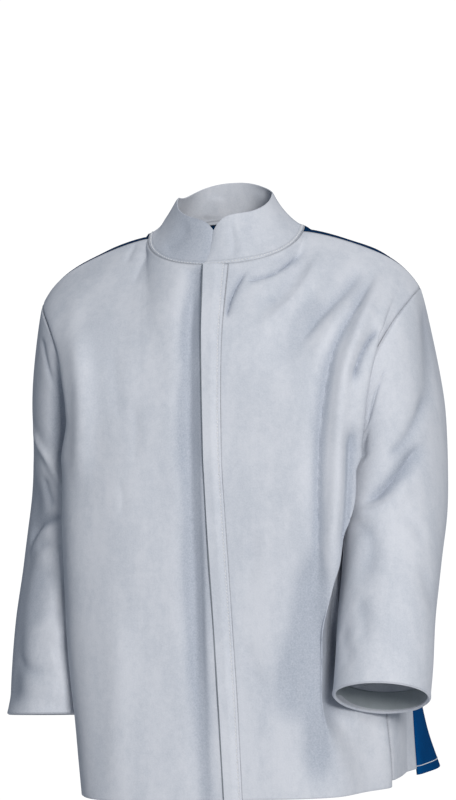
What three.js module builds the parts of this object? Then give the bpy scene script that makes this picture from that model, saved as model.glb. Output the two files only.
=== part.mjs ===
// Leather welding jacket, worn: split leather fronts, sides, sleeves and stand collar, cotton back.
// Millimetres. +Z is up, the front faces -Y and the wearer's left is +X.
// The origin is the middle of the neck opening, level with the sides of the collar seam.

import * as THREE from "three";

// Walls and clearances
const LEATHER = 1.4;
const COTTON = 1.0;
const SEAM_GAP = 0.3;
const EDGE_CLEARANCE = 0.9;
const ARMHOLE_CLEARANCE = 1.0;
const ARMPIT_CLEARANCE = 4.8;
const ARM_CLEARANCE = 7;

// Body
const BODY_LENGTH = 700;
const ARMPIT_DROP = 290;
const CHEST_HALF_WIDTH = 209;
const FRONT_DEPTH = 146;
const BACK_DEPTH = 140;
const FRONT_SEAM_ANGLE = 71;
const BACK_SEAM_ANGLE = 107;
const BACK_SEAM_HEM_ANGLE = 97;
const SIDE_HEM_STEP = 8;

// Neck and shoulders
const NECK_HALF_WIDTH = 101;
const NECK_FRONT_DEPTH = 78;
const NECK_BACK_DEPTH = 76;
const NECK_FRONT_DROP = 47;
const NECK_BACK_RISE = 14;
const NECK_SQUARENESS = 2.3;
const SHOULDER_HALF_WIDTH = 244;
const SHOULDER_DROP = 84;
const SHOULDER_FORWARD = 9;

// Collar
const COLLAR_TOP_HALF_WIDTH = 60;
const COLLAR_TOP_FRONT_DEPTH = 56;
const COLLAR_TOP_BACK_DEPTH = 62;
const COLLAR_OVER_HEIGHT = 62;
const COLLAR_UNDER_HEIGHT = 57;
const COLLAR_SIDE_HEIGHT = 43;
const COLLAR_BACK_HEIGHT = 50;
const COLLAR_LENGTH = 520;
const COLLAR_CORNER = 38;
const COLLAR_OVER_END = 16;
const COLLAR_UNDER_END = 12;
const COLLAR_LAP_START = 0.08;
const COLLAR_LAP_SPREAD = 0.12;

// Front closure
const PLACKET_WIDTH = 34;
const PLACKET_LAP = 12;
const RIGHT_FRONT_LAP = 2;
const PLACKET_DROP = 6;
const FACING_WIDTH = 16;
const FACING_SHOW = 1.6;
const FACING_DROP = 3;
const STRIP_WIDTH = 10;
const STRIP_INSET = 3;
const STRIP_HEM_LIFT = 20;
const STRIP_THICKNESS = 1.2;
const STRIP_TOP = 0.93;

// Sleeves
const SLEEVE_HALF_DEPTH = 88;
const LEFT_SLEEVE_DROP = 496;
const RIGHT_SLEEVE_DROP = 522;
const LEFT_REACH = 131;
const RIGHT_REACH = 42;
const CUFF_FACING_DEPTH = 30;

// Sections of the body from hem to armpit. drop is a share of BODY_LENGTH, the last one the armpit.
// width, front and back are shares of the chest sizes, and turn is the twist of the section in
// degrees. left and right widen the wearer's two sides towards the back, and narrow them a quarter as
// much towards the front.
const BODY_SECTIONS = [
  { drop: 1.0, width: 0.975, front: 1.04, back: 1.04, square: 4.2, left: 0.36, right: 0.12, turn: 5 },
  { drop: 0.92, width: 0.98, front: 1.035, back: 1.01, square: 4.15, left: 0.24, right: 0.11, turn: 4.5 },
  { drop: 0.84, width: 0.985, front: 1.03, back: 0.99, square: 4.1, left: 0.15, right: 0.1, turn: 4 },
  { drop: 0.68, width: 1.0, front: 1.01, back: 0.95, square: 4.0, left: 0.07, right: 0.06, turn: 2.6 },
  { drop: 0.54, width: 1.0, front: 1.0, back: 0.96, square: 3.9, left: 0.02, right: 0.02, turn: 1.2 },
  { drop: ARMPIT_DROP / BODY_LENGTH, width: 1.0, front: 0.97, back: 1.0, square: 3.6, left: 0, right: 0, turn: 0 },
];

// Middle lines of the front and of the back above the armpit, from there (rise 0) to the neck (rise 1).
// depth is a share of FRONT_DEPTH or BACK_DEPTH.
const FRONT_MIDDLE = [
  { rise: -0.36, depth: 1.0 },
  { rise: 0, depth: 0.97 },
  { rise: 0.35, depth: 0.925 },
  { rise: 0.65, depth: 0.82 },
  { rise: 0.87, depth: 0.65 },
  { rise: 1, depth: NECK_FRONT_DEPTH / FRONT_DEPTH },
];
const BACK_MIDDLE = [
  { rise: -0.36, depth: 0.97 },
  { rise: 0, depth: 1.0 },
  { rise: 0.35, depth: 1.0 },
  { rise: 0.65, depth: 0.92 },
  { rise: 0.87, depth: 0.74 },
  { rise: 1, depth: NECK_BACK_DEPTH / BACK_DEPTH },
];

// Armhole edges above the armpit corner. out is a share of SHOULDER_HALF_WIDTH, drop of ARMPIT_DROP
// and depth of SLEEVE_HALF_DEPTH.
const ARMHOLE_FRONT = [
  { out: 0.695, drop: 0.81, depth: -1.0 },
  { out: 0.77, drop: 0.62, depth: -1.02 },
  { out: 0.875, drop: 0.45, depth: -0.78 },
  { out: 0.965, drop: 0.335, depth: -0.36 },
];
const ARMHOLE_BACK = [
  { out: 0.76, drop: 0.81, depth: 1.03 },
  { out: 0.83, drop: 0.62, depth: 1.02 },
  { out: 0.92, drop: 0.45, depth: 0.74 },
  { out: 0.985, drop: 0.335, depth: 0.32 },
];

// Rings of a sleeve from armhole to cuff. inner and outer are how far out its two sides lie, as
// shares of SHOULDER_HALF_WIDTH. innerFall and outerFall are their shares of the way down to the
// cuff. forward is a share of the arm's reach and depth of SLEEVE_HALF_DEPTH. tilt leans the ring in
// degrees, and skew turns its front towards the body.
const LEFT_RINGS = [
  { inner: 0.655, innerFall: 0, outer: 1.0, outerFall: 0, forward: 0, depth: 1.0, tilt: 0, skew: 0 },
  { inner: 0.665, innerFall: 0.018, outer: 1.045, outerFall: 0.1, forward: 0.05, depth: 0.95, tilt: 1, skew: 0.1 },
  { inner: 0.665, innerFall: 0.045, outer: 1.07, outerFall: 0.21, forward: 0.09, depth: 0.9, tilt: 4, skew: 0.2 },
  { inner: 0.655, innerFall: 0.09, outer: 1.09, outerFall: 0.32, forward: 0.15, depth: 0.84, tilt: 8, skew: 0.25 },
  { inner: 0.635, innerFall: 0.17, outer: 1.1, outerFall: 0.43, forward: 0.24, depth: 0.79, tilt: 12, skew: 0.25 },
  { inner: 0.615, innerFall: 0.29, outer: 1.1, outerFall: 0.54, forward: 0.34, depth: 0.745, tilt: 16, skew: 0.2 },
  { inner: 0.595, innerFall: 0.45, outer: 1.085, outerFall: 0.66, forward: 0.5, depth: 0.715, tilt: 20, skew: 0.1 },
  { inner: 0.58, innerFall: 0.66, outer: 1.07, outerFall: 0.79, forward: 0.71, depth: 0.7, tilt: 23, skew: 0 },
  { inner: 0.57, innerFall: 0.85, outer: 1.055, outerFall: 0.91, forward: 0.87, depth: 0.69, tilt: 25, skew: 0 },
  { inner: 0.56, innerFall: 1, outer: 1.035, outerFall: 1, forward: 1, depth: 0.68, tilt: 25, skew: 0 },
];
const RIGHT_RINGS = [
  { inner: 0.655, innerFall: 0, outer: 1.0, outerFall: 0, forward: 0, depth: 1.0, tilt: 0, skew: 0 },
  { inner: 0.7, innerFall: 0.02, outer: 1.035, outerFall: 0.1, forward: 0, depth: 0.95, tilt: 0, skew: 0 },
  { inner: 0.68, innerFall: 0.045, outer: 1.06, outerFall: 0.2, forward: -0.1, depth: 0.9, tilt: 1, skew: 0 },
  { inner: 0.64, innerFall: 0.085, outer: 1.075, outerFall: 0.31, forward: -0.2, depth: 0.83, tilt: 2, skew: 0 },
  { inner: 0.645, innerFall: 0.155, outer: 1.09, outerFall: 0.41, forward: -0.25, depth: 0.77, tilt: 4, skew: 0 },
  { inner: 0.66, innerFall: 0.26, outer: 1.12, outerFall: 0.52, forward: -0.2, depth: 0.725, tilt: 6, skew: 0 },
  { inner: 0.68, innerFall: 0.41, outer: 1.155, outerFall: 0.64, forward: 0.05, depth: 0.7, tilt: 7, skew: 0 },
  { inner: 0.705, innerFall: 0.6, outer: 1.19, outerFall: 0.77, forward: 0.45, depth: 0.69, tilt: 8, skew: 0 },
  { inner: 0.73, innerFall: 0.82, outer: 1.205, outerFall: 0.9, forward: 0.8, depth: 0.68, tilt: 8, skew: 0 },
  { inner: 0.745, innerFall: 1, outer: 1.21, outerFall: 1, forward: 1, depth: 0.675, tilt: 8, skew: 0 },
];

// Folds of the two fronts, seen from the front. x is a share of CHEST_HALF_WIDTH and z of
// BODY_LENGTH, at the start, middle and end of each fold. width and height are shares of
// PLACKET_WIDTH. A height below zero is a valley.
const FRONT_FOLDS = [
  { x: [0.79, 0.62, 0.56], z: [-0.06, -0.2, -0.36], width: 0.7, height: -0.3 },
  { x: [0.56, 0.56, 0.56], z: [-0.36, -0.52, -0.66], width: 0.75, height: -0.24 },
  { x: [0.86, 0.78, 0.7], z: [-0.1, -0.17, -0.25], width: 0.6, height: 0.2 },
  { x: [0.54, 0.45, 0.38], z: [-0.74, -0.8, -0.85], width: 0.7, height: -0.16 },
  { x: [0.62, 0.64, 0.66], z: [-0.78, -0.85, -0.93], width: 0.7, height: -0.22 },
  { x: [-0.52, -0.53, -0.5], z: [-0.36, -0.52, -0.68], width: 0.9, height: -0.14 },
  { x: [-0.15, -0.15, -0.15], z: [-0.16, -0.45, -0.7], width: 0.6, height: -0.1 },
  { x: [-0.72, -0.78, -0.82], z: [-0.62, -0.7, -0.8], width: 0.9, height: 0.12 },
];

// Folds of the back, in the same columns.
const BACK_FOLDS = [
  { x: [0.6, 0.5, 0.48], z: [-0.2, -0.5, -0.95], width: 1.0, height: 0.2 },
  { x: [-0.6, -0.5, -0.48], z: [-0.2, -0.5, -0.95], width: 1.0, height: 0.2 },
  { x: [0.12, 0.08, 0.1], z: [-0.3, -0.6, -0.98], width: 0.9, height: -0.18 },
  { x: [-0.28, -0.24, -0.26], z: [-0.45, -0.7, -0.98], width: 0.8, height: -0.14 },
];

// Folds of the sleeves. around is the turn from the outer side towards the front and along is the
// share of the way to the cuff. width and height are shares of PLACKET_WIDTH.
const LEFT_SLEEVE_FOLDS = [
  { around: [0.02, 0.13, 0.25], along: [0.5, 0.55, 0.6], width: 0.3, height: -0.2 },
  { around: [0.02, 0.12, 0.2], along: [0.44, 0.47, 0.51], width: 0.35, height: -0.1 },
  { around: [0.25, 0.3, 0.33], along: [0.22, 0.36, 0.46], width: 0.4, height: -0.16 },
  { around: [0.08, 0.1, 0.16], along: [0.2, 0.34, 0.48], width: 0.5, height: -0.12 },
  { around: [0.34, 0.27, 0.3], along: [0.63, 0.7, 0.76], width: 0.4, height: -0.14 },
  { around: [0.62, 0.75, 0.88], along: [0.5, 0.52, 0.5], width: 0.5, height: -0.15 },
];
const RIGHT_SLEEVE_FOLDS = [
  { around: [0.03, 0.14, 0.26], along: [0.6, 0.58, 0.56], width: 0.35, height: -0.12 },
  { around: [0.04, 0.14, 0.24], along: [0.86, 0.85, 0.87], width: 0.35, height: -0.12 },
  { around: [0.22, 0.24, 0.26], along: [0.2, 0.34, 0.46], width: 0.4, height: -0.12 },
  { around: [0.62, 0.75, 0.88], along: [0.52, 0.54, 0.52], width: 0.5, height: -0.15 },
];

// Mesh density
const NECK_COLUMNS = 5;
const SHOULDER_COLUMNS = 6;
const BODY_ROWS = 12;
const YOKE_ROWS = 9;
const SIDE_COLUMNS = 5;
const SLEEVE_ROWS = 22;
const COLLAR_COLUMNS = 44;
const COLLAR_ROWS = 5;
const COLLAR_END_DENSITY = 0.35;
const FACING_ROWS = 2;

// Share of a panel's rows that lie below the armpit
const YOKE_START = BODY_ROWS / (BODY_ROWS + YOKE_ROWS);

// Blends: how much of the body's flare reaches its front, how late the armhole and the top edge take over from the body section in a front or back,
// the turn at which the armhole reaches the armpit, the share of a sleeve that blends into its rings,
// the share of the arm's press that is left at the hem, the rounding of that press, and the girth
// over which the sleeves' folds are measured. The collar's powers shape its front height and its cone.
const FRONT_FLARE = 0.25;
const COLLAR_FRONT_RISE = 1.4;
const COLLAR_LEAN = 0.65;
const COLLAR_LIFT = 1.3;
const SIDE_BLEND = 4;
const TOP_BLEND = 2.5;
const ARMPIT_TURN = 0.39;
const SLEEVE_BLEND = 0.3;
const HEM_PRESS = 0.45;
const PRESS_ROUNDING = 24;
const FOLD_GIRTH = 2 * Math.PI * SLEEVE_HALF_DEPTH * 0.72;

// Colours
const SUEDE = { color: 0xc3c7ce, roughness: 0.95, metalness: 0 };
const SUEDE_INSIDE = { color: 0xb1b6bd, roughness: 0.95, metalness: 0 };
const BLUE_COTTON = { color: 0x1c4c80, roughness: 0.9, metalness: 0 };
const HOOK_AND_LOOP = { color: 0x3c4045, roughness: 0.9, metalness: 0 };

const radians = (degrees) => (degrees * Math.PI) / 180;
const mix = (a, b, t) => a + (b - a) * t;
const ease = (t) => t * t * (3 - 2 * t);
const clamp01 = (t) => Math.min(1, Math.max(0, t));
const lerpPoint = (p, q, t) => p.map((value, k) => mix(value, q[k], t));

// Smooth value between the rows of a table, read at the key column.
function tableValue(rows, keyOf, valueOf, at) {
  let i = 0;
  while (i < rows.length - 2 && keyOf(rows[i + 1]) < at) {
    i += 1;
  }
  const before = rows[Math.max(i - 1, 0)];
  const after = rows[Math.min(i + 2, rows.length - 1)];
  const span = keyOf(rows[i + 1]) - keyOf(rows[i]);
  const t = clamp01((at - keyOf(rows[i])) / span);
  const slope = (a, b) => (span * (valueOf(b) - valueOf(a))) / Math.max(keyOf(b) - keyOf(a), 1e-6);
  const m0 = slope(before, rows[i + 1]);
  const m1 = slope(rows[i], after);
  const t2 = t * t;
  const t3 = t2 * t;
  return (2 * t3 - 3 * t2 + 1) * valueOf(rows[i]) + (t3 - 2 * t2 + t) * m0
    + (3 * t2 - 2 * t3) * valueOf(rows[i + 1]) + (t3 - t2) * m1;
}

// Smooth curve through a short list of points, at a share of its length in steps.
function curvePoint(points, share) {
  const rows = points.map((point, k) => ({ point, key: k / (points.length - 1) }));
  return [0, 1, 2].map((axis) => tableValue(rows, (r) => r.key, (r) => r.point[axis], share));
}

// The lesser of two values with a rounded corner between them.
function softMin(a, b, softness) {
  const h = Math.max(softness - Math.abs(a - b), 0) / softness;
  return Math.min(a, b) - (h * h * softness) / 4;
}

// Sleeve ring table as real sizes: side is 1 for the wearer's left and -1 for the right.
function sleeveRings(side) {
  const rows = side > 0 ? LEFT_RINGS : RIGHT_RINGS;
  const drop = side > 0 ? LEFT_SLEEVE_DROP : RIGHT_SLEEVE_DROP;
  const reach = side > 0 ? LEFT_REACH : RIGHT_REACH;
  const innerDrop = drop + SHOULDER_DROP - ARMPIT_DROP;
  return rows.map((row, k) => ({
    key: k / (rows.length - 1),
    inner: row.inner * SHOULDER_HALF_WIDTH,
    innerZ: -ARMPIT_DROP - row.innerFall * innerDrop,
    outer: row.outer * SHOULDER_HALF_WIDTH,
    outerZ: -SHOULDER_DROP - row.outerFall * drop,
    y: -row.forward * reach,
    depth: row.depth * SLEEVE_HALF_DEPTH,
    tilt: radians(row.tilt),
    skew: row.skew,
  }));
}
const RINGS = { left: sleeveRings(1), right: sleeveRings(-1) };
const ringsOf = (side) => (side > 0 ? RINGS.left : RINGS.right);

// The sleeve ring that passes a height beside the body. share is how far forward or back the place
// lies within the ring, from -1 to 1, and rings lean, so the place decides which ring it is.
function armAt(side, share, z) {
  const rings = ringsOf(side);
  const bow = (1 - Math.sqrt(1 - Math.min(share * share, 1))) / 2;
  const keyOf = (ring) => -mix(ring.innerZ, ring.outerZ, bow) + share * ring.depth * Math.sin(ring.tilt);
  const read = (valueOf) => tableValue(rings, keyOf, valueOf, -z);
  const inner = read((ring) => ring.inner);
  const half = (read((ring) => ring.outer) - inner) / 2;
  const y = read((ring) => ring.y);
  return { inner, half, y, depth: read((ring) => ring.depth), skew: read((ring) => ring.skew) };
}

// How much of the press is left: full at the arm, fading below the cuff.
function pressAt(side, z) {
  const rings = ringsOf(side);
  const cuff = rings[rings.length - 1].innerZ;
  return mix(HEM_PRESS, 1, ease(clamp01((z + BODY_LENGTH) / (cuff + BODY_LENGTH))));
}

// Point of the body at an angle from the middle of the front, below the armpit.
function bodyPoint(side, angle, z) {
  const key = (row) => -row.drop;
  const read = (name) => tableValue(BODY_SECTIONS, key, (row) => row[name], z / BODY_LENGTH);
  const width = read("width") * CHEST_HALF_WIDTH;
  const front = Math.cos(angle) > 0;
  const depth = front ? read("front") * FRONT_DEPTH : read("back") * BACK_DEPTH;
  const square = read("square");
  const sine = Math.abs(Math.sin(angle));
  const cosine = Math.abs(Math.cos(angle));
  const radius = ((sine / width) ** square + (cosine / depth) ** square) ** (-1 / square);
  const flatY = -radius * Math.cos(angle);
  const flare = (read(side > 0 ? "left" : "right") * flatY) / BACK_DEPTH * (front ? FRONT_FLARE : 1);
  const flatX = radius * Math.sin(angle) * (1 + flare);
  const turn = radians(read("turn")) * side;
  const x = flatX * Math.cos(turn) - flatY * Math.sin(turn);
  const y = flatX * Math.sin(turn) + flatY * Math.cos(turn);
  return [side * pressedIn(side, x, y, z), y, z];
}

// Distance out after the arm has pressed a round groove into the side of the body.
function pressedIn(side, x, y, z) {
  const first = armAt(side, 0, z);
  const guess = Math.min(1, Math.max(-1, (y - first.y) / first.depth));
  const arm = armAt(side, guess, z);
  const clearance = mix(ARMPIT_CLEARANCE, ARM_CLEARANCE, clamp01((-z - ARMPIT_DROP) / SIDE_HEM_STEP / 2));
  const share = (y - arm.y) / (arm.depth + clearance);
  const groove = (arm.half + clearance) * Math.exp(-((share / 0.95) ** 4));
  const limit = arm.inner + arm.half - groove + arm.skew * (y - arm.y);
  const reach = Math.exp(-((share / 1.5) ** 6));
  return mix(x, softMin(x, limit, PRESS_ROUNDING), pressAt(side, z) * reach);
}

// Outward normal of the body at an angle and height.
function bodyNormal(side, angle, z) {
  const small = 0.01;
  const at = (da, dz) => new THREE.Vector3(...bodyPoint(side, angle + da, z + dz));
  const across = at(small, 0).sub(at(-small, 0));
  const up = at(0, 0.5).sub(at(0, -0.5));
  return across.cross(up).normalize().multiplyScalar(side).toArray();
}

// Neck seam loop, where the fronts and the back meet the collar. angle 0 is the front middle.
function neckPoint(angle) {
  const front = Math.cos(angle) > 0;
  const depth = front ? NECK_FRONT_DEPTH : NECK_BACK_DEPTH;
  const sine = Math.abs(Math.sin(angle));
  const cosine = Math.abs(Math.cos(angle));
  const radius = ((sine / NECK_HALF_WIDTH) ** NECK_SQUARENESS + (cosine / depth) ** NECK_SQUARENESS)
    ** (-1 / NECK_SQUARENESS);
  const y = -radius * Math.cos(angle);
  const lift = front ? NECK_FRONT_DROP * (y / NECK_FRONT_DEPTH) : NECK_BACK_RISE * (y / NECK_BACK_DEPTH);
  return [radius * Math.sin(angle), y, lift];
}

const NECK_SIDE_ANGLE = Math.PI / 2 - Math.asin(SHOULDER_FORWARD / NECK_FRONT_DEPTH);
const NECK_SHARE = NECK_COLUMNS / (NECK_COLUMNS + SHOULDER_COLUMNS);

// Top edge of a front or back: the neck seam, then the shoulder seam out to its tip.
function topEdge(side, front, share) {
  if (share <= NECK_SHARE) {
    const end = NECK_SIDE_ANGLE;
    const t = share / NECK_SHARE;
    const [x, y, z] = neckPoint(front ? end * t : Math.PI - (Math.PI - end) * t);
    return [side * x, y, z];
  }
  const t = (share - NECK_SHARE) / (1 - NECK_SHARE);
  const [x, y, z] = neckPoint(NECK_SIDE_ANGLE);
  const fall = 0.68 * t ** 1.35 + 0.32 * t ** 8;
  return [side * mix(x, SHOULDER_HALF_WIDTH, t), mix(y, 0, t), mix(z, -SHOULDER_DROP, fall)];
}

// The top edge as it is felt lower down, where its corner at the neck has been smoothed away.
function softTopEdge(side, front, share, w) {
  const reach = 0.8 * (1 - w) * Math.min(share, 1 - share);
  const weights = [1, 2, 3, 2, 1];
  const total = [0, 0, 0];
  weights.forEach((weight, k) => {
    const point = topEdge(side, front, share + (reach * (k - 2)) / 2);
    point.forEach((value, axis) => {
      total[axis] += (value * weight) / 9;
    });
  });
  return total;
}

// Body angle of the front or back side seam at a share of the way from the hem to the armpit.
function seamAngle(front, share) {
  return radians(front ? FRONT_SEAM_ANGLE : mix(BACK_SEAM_HEM_ANGLE, BACK_SEAM_ANGLE, ease(share)));
}

// Armhole edge of a front or back, from the armpit (share 0) to the shoulder tip (share 1).
function armholeEdge(side, front, share) {
  const rows = front ? ARMHOLE_FRONT : ARMHOLE_BACK;
  const middle = rows.map((row) => [
    side * row.out * SHOULDER_HALF_WIDTH, row.depth * SLEEVE_HALF_DEPTH, -row.drop * ARMPIT_DROP,
  ]);
  const armpit = bodyPoint(side, seamAngle(front, 1), -ARMPIT_DROP);
  const below = [middle[0][0], middle[0][1], 2 * armpit[2] - middle[0][2]];
  const points = [below, armpit, ...middle, topEdge(side, front, 1)];
  const first = 1 / (points.length - 1);
  return curvePoint(points, mix(first, 1, share));
}

// Middle line of the front or back above the armpit.
function middleLine(front, share) {
  const rows = front ? FRONT_MIDDLE : BACK_MIDDLE;
  const top = front ? -NECK_FRONT_DROP : NECK_BACK_RISE;
  const depth = tableValue(rows, (row) => row.rise, (row) => row.depth, share);
  const y = depth * (front ? -FRONT_DEPTH : BACK_DEPTH);
  return [0, y, mix(-ARMPIT_DROP, top, share)];
}

// Distance from a point to a path of three points, and the share of the path reached.
function nearPath(px, py, xs, ys) {
  let best = { distance: Infinity, share: 0 };
  for (let k = 0; k < 2; k += 1) {
    const dx = xs[k + 1] - xs[k];
    const dy = ys[k + 1] - ys[k];
    const raw = ((px - xs[k]) * dx + (py - ys[k]) * dy) / (dx * dx + dy * dy);
    const t = clamp01(raw);
    const distance = Math.hypot(px - xs[k] - dx * t, py - ys[k] - dy * t);
    if (distance < best.distance) {
      best = { distance, share: (k + t) / 2 };
    }
  }
  return best;
}

// Height of all the folds of a table at one place, each fading out towards its two ends.
function foldHeight(folds, px, py, toX, toY) {
  let height = 0;
  for (const fold of folds) {
    const near = nearPath(px, py, fold.x.map(toX), fold.z.map(toY));
    const fade = Math.sin(Math.PI * mix(0.12, 0.88, near.share));
    const width = fold.width * PLACKET_WIDTH;
    height += fold.height * PLACKET_WIDTH * fade * Math.exp(-((near.distance / width) ** 2));
  }
  return height;
}

// Shell of a front or back without folds. u runs from the middle to the side, v from hem to shoulder.
function plainPanel(side, front, u, v) {
  const rise = Math.min(v / YOKE_START, 1);
  const angle = mix(front ? 0 : Math.PI, seamAngle(front, rise), u);
  if (rise < 1) {
    return bodyPoint(side, angle, mix(-BODY_LENGTH, -ARMPIT_DROP, rise));
  }
  const w = (v - YOKE_START) / (1 - YOKE_START);
  const hu = u ** SIDE_BLEND;
  const hw = w ** TOP_BLEND;
  const low = bodyPoint(side, angle, -ARMPIT_DROP);
  const lowMiddle = bodyPoint(side, front ? 0 : Math.PI, -ARMPIT_DROP);
  const lowSide = bodyPoint(side, seamAngle(front, 1), -ARMPIT_DROP);
  const top = softTopEdge(side, front, u, w);
  const inner = middleLine(front, w);
  const outer = armholeEdge(side, front, w);
  const topMiddle = topEdge(side, front, 0);
  const topSide = topEdge(side, front, 1);
  return [0, 1, 2].map((k) => mix(low[k], top[k], hw) + mix(inner[k], outer[k], hu)
    - mix(mix(lowMiddle[k], topMiddle[k], hw), mix(lowSide[k], topSide[k], hw), hu));
}

// The same with folds: each point moves towards -Y on the front and +Y on the back.
function panelPoint(side, front, u, v) {
  const [x, y, z] = plainPanel(side, front, u, v);
  const folds = front ? FRONT_FOLDS : BACK_FOLDS;
  const edge = ease(clamp01((1 - v) / 0.12)) * ease(clamp01((1 - u) / 0.08));
  const height = edge * foldHeight(folds, x, z, (s) => s * CHEST_HALF_WIDTH, (s) => s * BODY_LENGTH);
  return [x, y + (front ? -height : height), z];
}

// Normal at the shoulder seam: halfway between those of the front and the back, so their edges match.
function shoulderNormal(side, u) {
  const small = 0.004;
  const total = new THREE.Vector3();
  for (const front of [true, false]) {
    const at = (du, dv) => new THREE.Vector3(...plainPanel(side, front, clamp01(u + du), 1 - dv));
    const across = at(small, 0).sub(at(-small, 0));
    const up = at(0, 0).sub(at(0, small));
    total.add(across.cross(up).normalize().multiplyScalar(front ? side : -side));
  }
  return total.normalize().toArray();
}

// Ring loop of the armhole: from the tip down the front, along the armpit and up the back.
function armholeLoop(side, turn) {
  if (turn <= ARMPIT_TURN) {
    return armholeEdge(side, true, 1 - turn / ARMPIT_TURN);
  }
  if (turn >= 1 - ARMPIT_TURN) {
    return armholeEdge(side, false, (turn - 1 + ARMPIT_TURN) / ARMPIT_TURN);
  }
  const share = (turn - ARMPIT_TURN) / (1 - 2 * ARMPIT_TURN);
  return bodyPoint(side, mix(seamAngle(true, 1), seamAngle(false, 1), share), -ARMPIT_DROP);
}

// Where the sleeve starts: the armhole loop moved outwards, most of all under the arm.
function sleeveStart(side, turn) {
  const fall = (ARMPIT_DROP - SHOULDER_DROP) / Math.hypot(ARMPIT_DROP - SHOULDER_DROP, SLEEVE_HALF_DEPTH);
  const amount = mix(ARMHOLE_CLEARANCE, ARMPIT_CLEARANCE, Math.sin(Math.PI * turn));
  const [x, y, z] = armholeLoop(side, turn);
  return [x + side * amount * fall, y, z - amount * Math.sqrt(1 - fall * fall)];
}

// Point of a sleeve without folds: turn runs from the outer side to the front, along to the cuff.
function plainSleeve(side, turn, along) {
  const rings = ringsOf(side);
  const read = (name) => tableValue(rings, (ring) => ring.key, (ring) => ring[name], along);
  const cosine = Math.cos(2 * Math.PI * turn);
  const sine = Math.sin(2 * Math.PI * turn);
  const tilt = read("tilt");
  const depth = read("depth");
  const x = mix(read("inner"), read("outer"), (1 + cosine) / 2);
  const z = mix(read("innerZ"), read("outerZ"), (1 + cosine) / 2);
  const ring = [
    side * (x - read("skew") * depth * sine),
    read("y") - depth * sine * Math.cos(tilt),
    z + depth * sine * Math.sin(tilt),
  ];
  return lerpPoint(sleeveStart(side, turn), ring, ease(clamp01(along / SLEEVE_BLEND)));
}

function sleevePoint(side, turn, along, outward) {
  const folds = side > 0 ? LEFT_SLEEVE_FOLDS : RIGHT_SLEEVE_FOLDS;
  const base = plainSleeve(side, turn, along);
  const length = side > 0 ? LEFT_SLEEVE_DROP : RIGHT_SLEEVE_DROP;
  const rows = folds.map((fold) => ({ ...fold, x: fold.around, z: fold.along }));
  const edge = ease(clamp01(along / 0.1)) * ease(clamp01((1 - along) / 0.06));
  const height = foldHeight(rows, turn * FOLD_GIRTH, along * length, (s) => s * FOLD_GIRTH, (s) => s * length);
  return base.map((value, k) => value + outward[k] * height * edge);
}

// A grid of points: rows of columns, each point a triple.
function grid(columns, rows, pointAt) {
  return Array.from({ length: rows.length }, (_, j) => columns.map((u) => pointAt(u, rows[j])));
}
const steps = (from, to, count) => Array.from({ length: count + 1 }, (_, k) => mix(from, to, k / count));

// Normals of a grid from its neighbours; closed grids join their last column to the first.
function gridNormals(points, closed) {
  const rows = points.length;
  const columns = points[0].length;
  const pick = (j, i) => points[j][closed ? (i + columns) % columns : Math.min(Math.max(i, 0), columns - 1)];
  return points.map((row, j) => row.map((_, i) => {
    const along = new THREE.Vector3(...pick(j, i + 1)).sub(new THREE.Vector3(...pick(j, i - 1)));
    const up = new THREE.Vector3(...pick(Math.min(j + 1, rows - 1), i))
      .sub(new THREE.Vector3(...pick(Math.max(j - 1, 0), i)));
    return along.cross(up).normalize().toArray();
  }));
}

// A closed wall around a grid surface: its two faces lie at the offsets outer and inner.
// normalAt may give the normal of a point on a seam, so that both pieces there share it.
function wallGeometry(points, closed, outer, inner, normalAt) {
  const rows = points.length;
  const columns = points[0].length;
  const own = gridNormals(points, closed);
  const normals = own.map((row, j) => row.map((n, i) => (normalAt && normalAt(j, i)) || n));
  const vertices = [];
  for (const offset of [outer, inner]) {
    points.forEach((row, j) => row.forEach((point, i) => {
      const [a, b, c] = normals[j][i];
      const amount = typeof offset === "function" ? offset(i, j) : offset;
      vertices.push(point[0] + a * amount, point[1] + b * amount, point[2] + c * amount);
    }));
  }
  const at = (j, i, layer) => layer * rows * columns + j * columns + (i % columns);
  const indices = [];
  const quad = (a, b, c, d) => indices.push(a, b, c, a, c, d);
  const spans = closed ? columns : columns - 1;
  for (let j = 0; j < rows - 1; j += 1) {
    for (let i = 0; i < spans; i += 1) {
      quad(at(j, i, 0), at(j, i + 1, 0), at(j + 1, i + 1, 0), at(j + 1, i, 0));
      quad(at(j, i, 1), at(j + 1, i, 1), at(j + 1, i + 1, 1), at(j, i + 1, 1));
    }
  }
  for (let i = 0; i < spans; i += 1) {
    quad(at(0, i, 1), at(0, i + 1, 1), at(0, i + 1, 0), at(0, i, 0));
    quad(at(rows - 1, i, 0), at(rows - 1, i + 1, 0), at(rows - 1, i + 1, 1), at(rows - 1, i, 1));
  }
  if (!closed) {
    for (let j = 0; j < rows - 1; j += 1) {
      quad(at(j, 0, 0), at(j + 1, 0, 0), at(j + 1, 0, 1), at(j, 0, 1));
      quad(at(j, columns - 1, 1), at(j + 1, columns - 1, 1), at(j + 1, columns - 1, 0), at(j, columns - 1, 0));
    }
  }
  const geometry = new THREE.BufferGeometry();
  geometry.setAttribute("position", new THREE.Float32BufferAttribute(vertices, 3));
  geometry.setIndex(indices);
  geometry.computeVertexNormals();
  return geometry;
}

const jacket = new THREE.Group();
jacket.name = "welding_jacket";

function addPiece(name, geometry, look) {
  const piece = new THREE.Mesh(geometry, new THREE.MeshStandardMaterial(look));
  piece.name = name;
  jacket.add(piece);
}

// A share of a panel's width that a length in millimetres takes near its middle or its side.
const panelShare = (length) => length / (CHEST_HALF_WIDTH + FRONT_DEPTH * 0.5);

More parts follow.
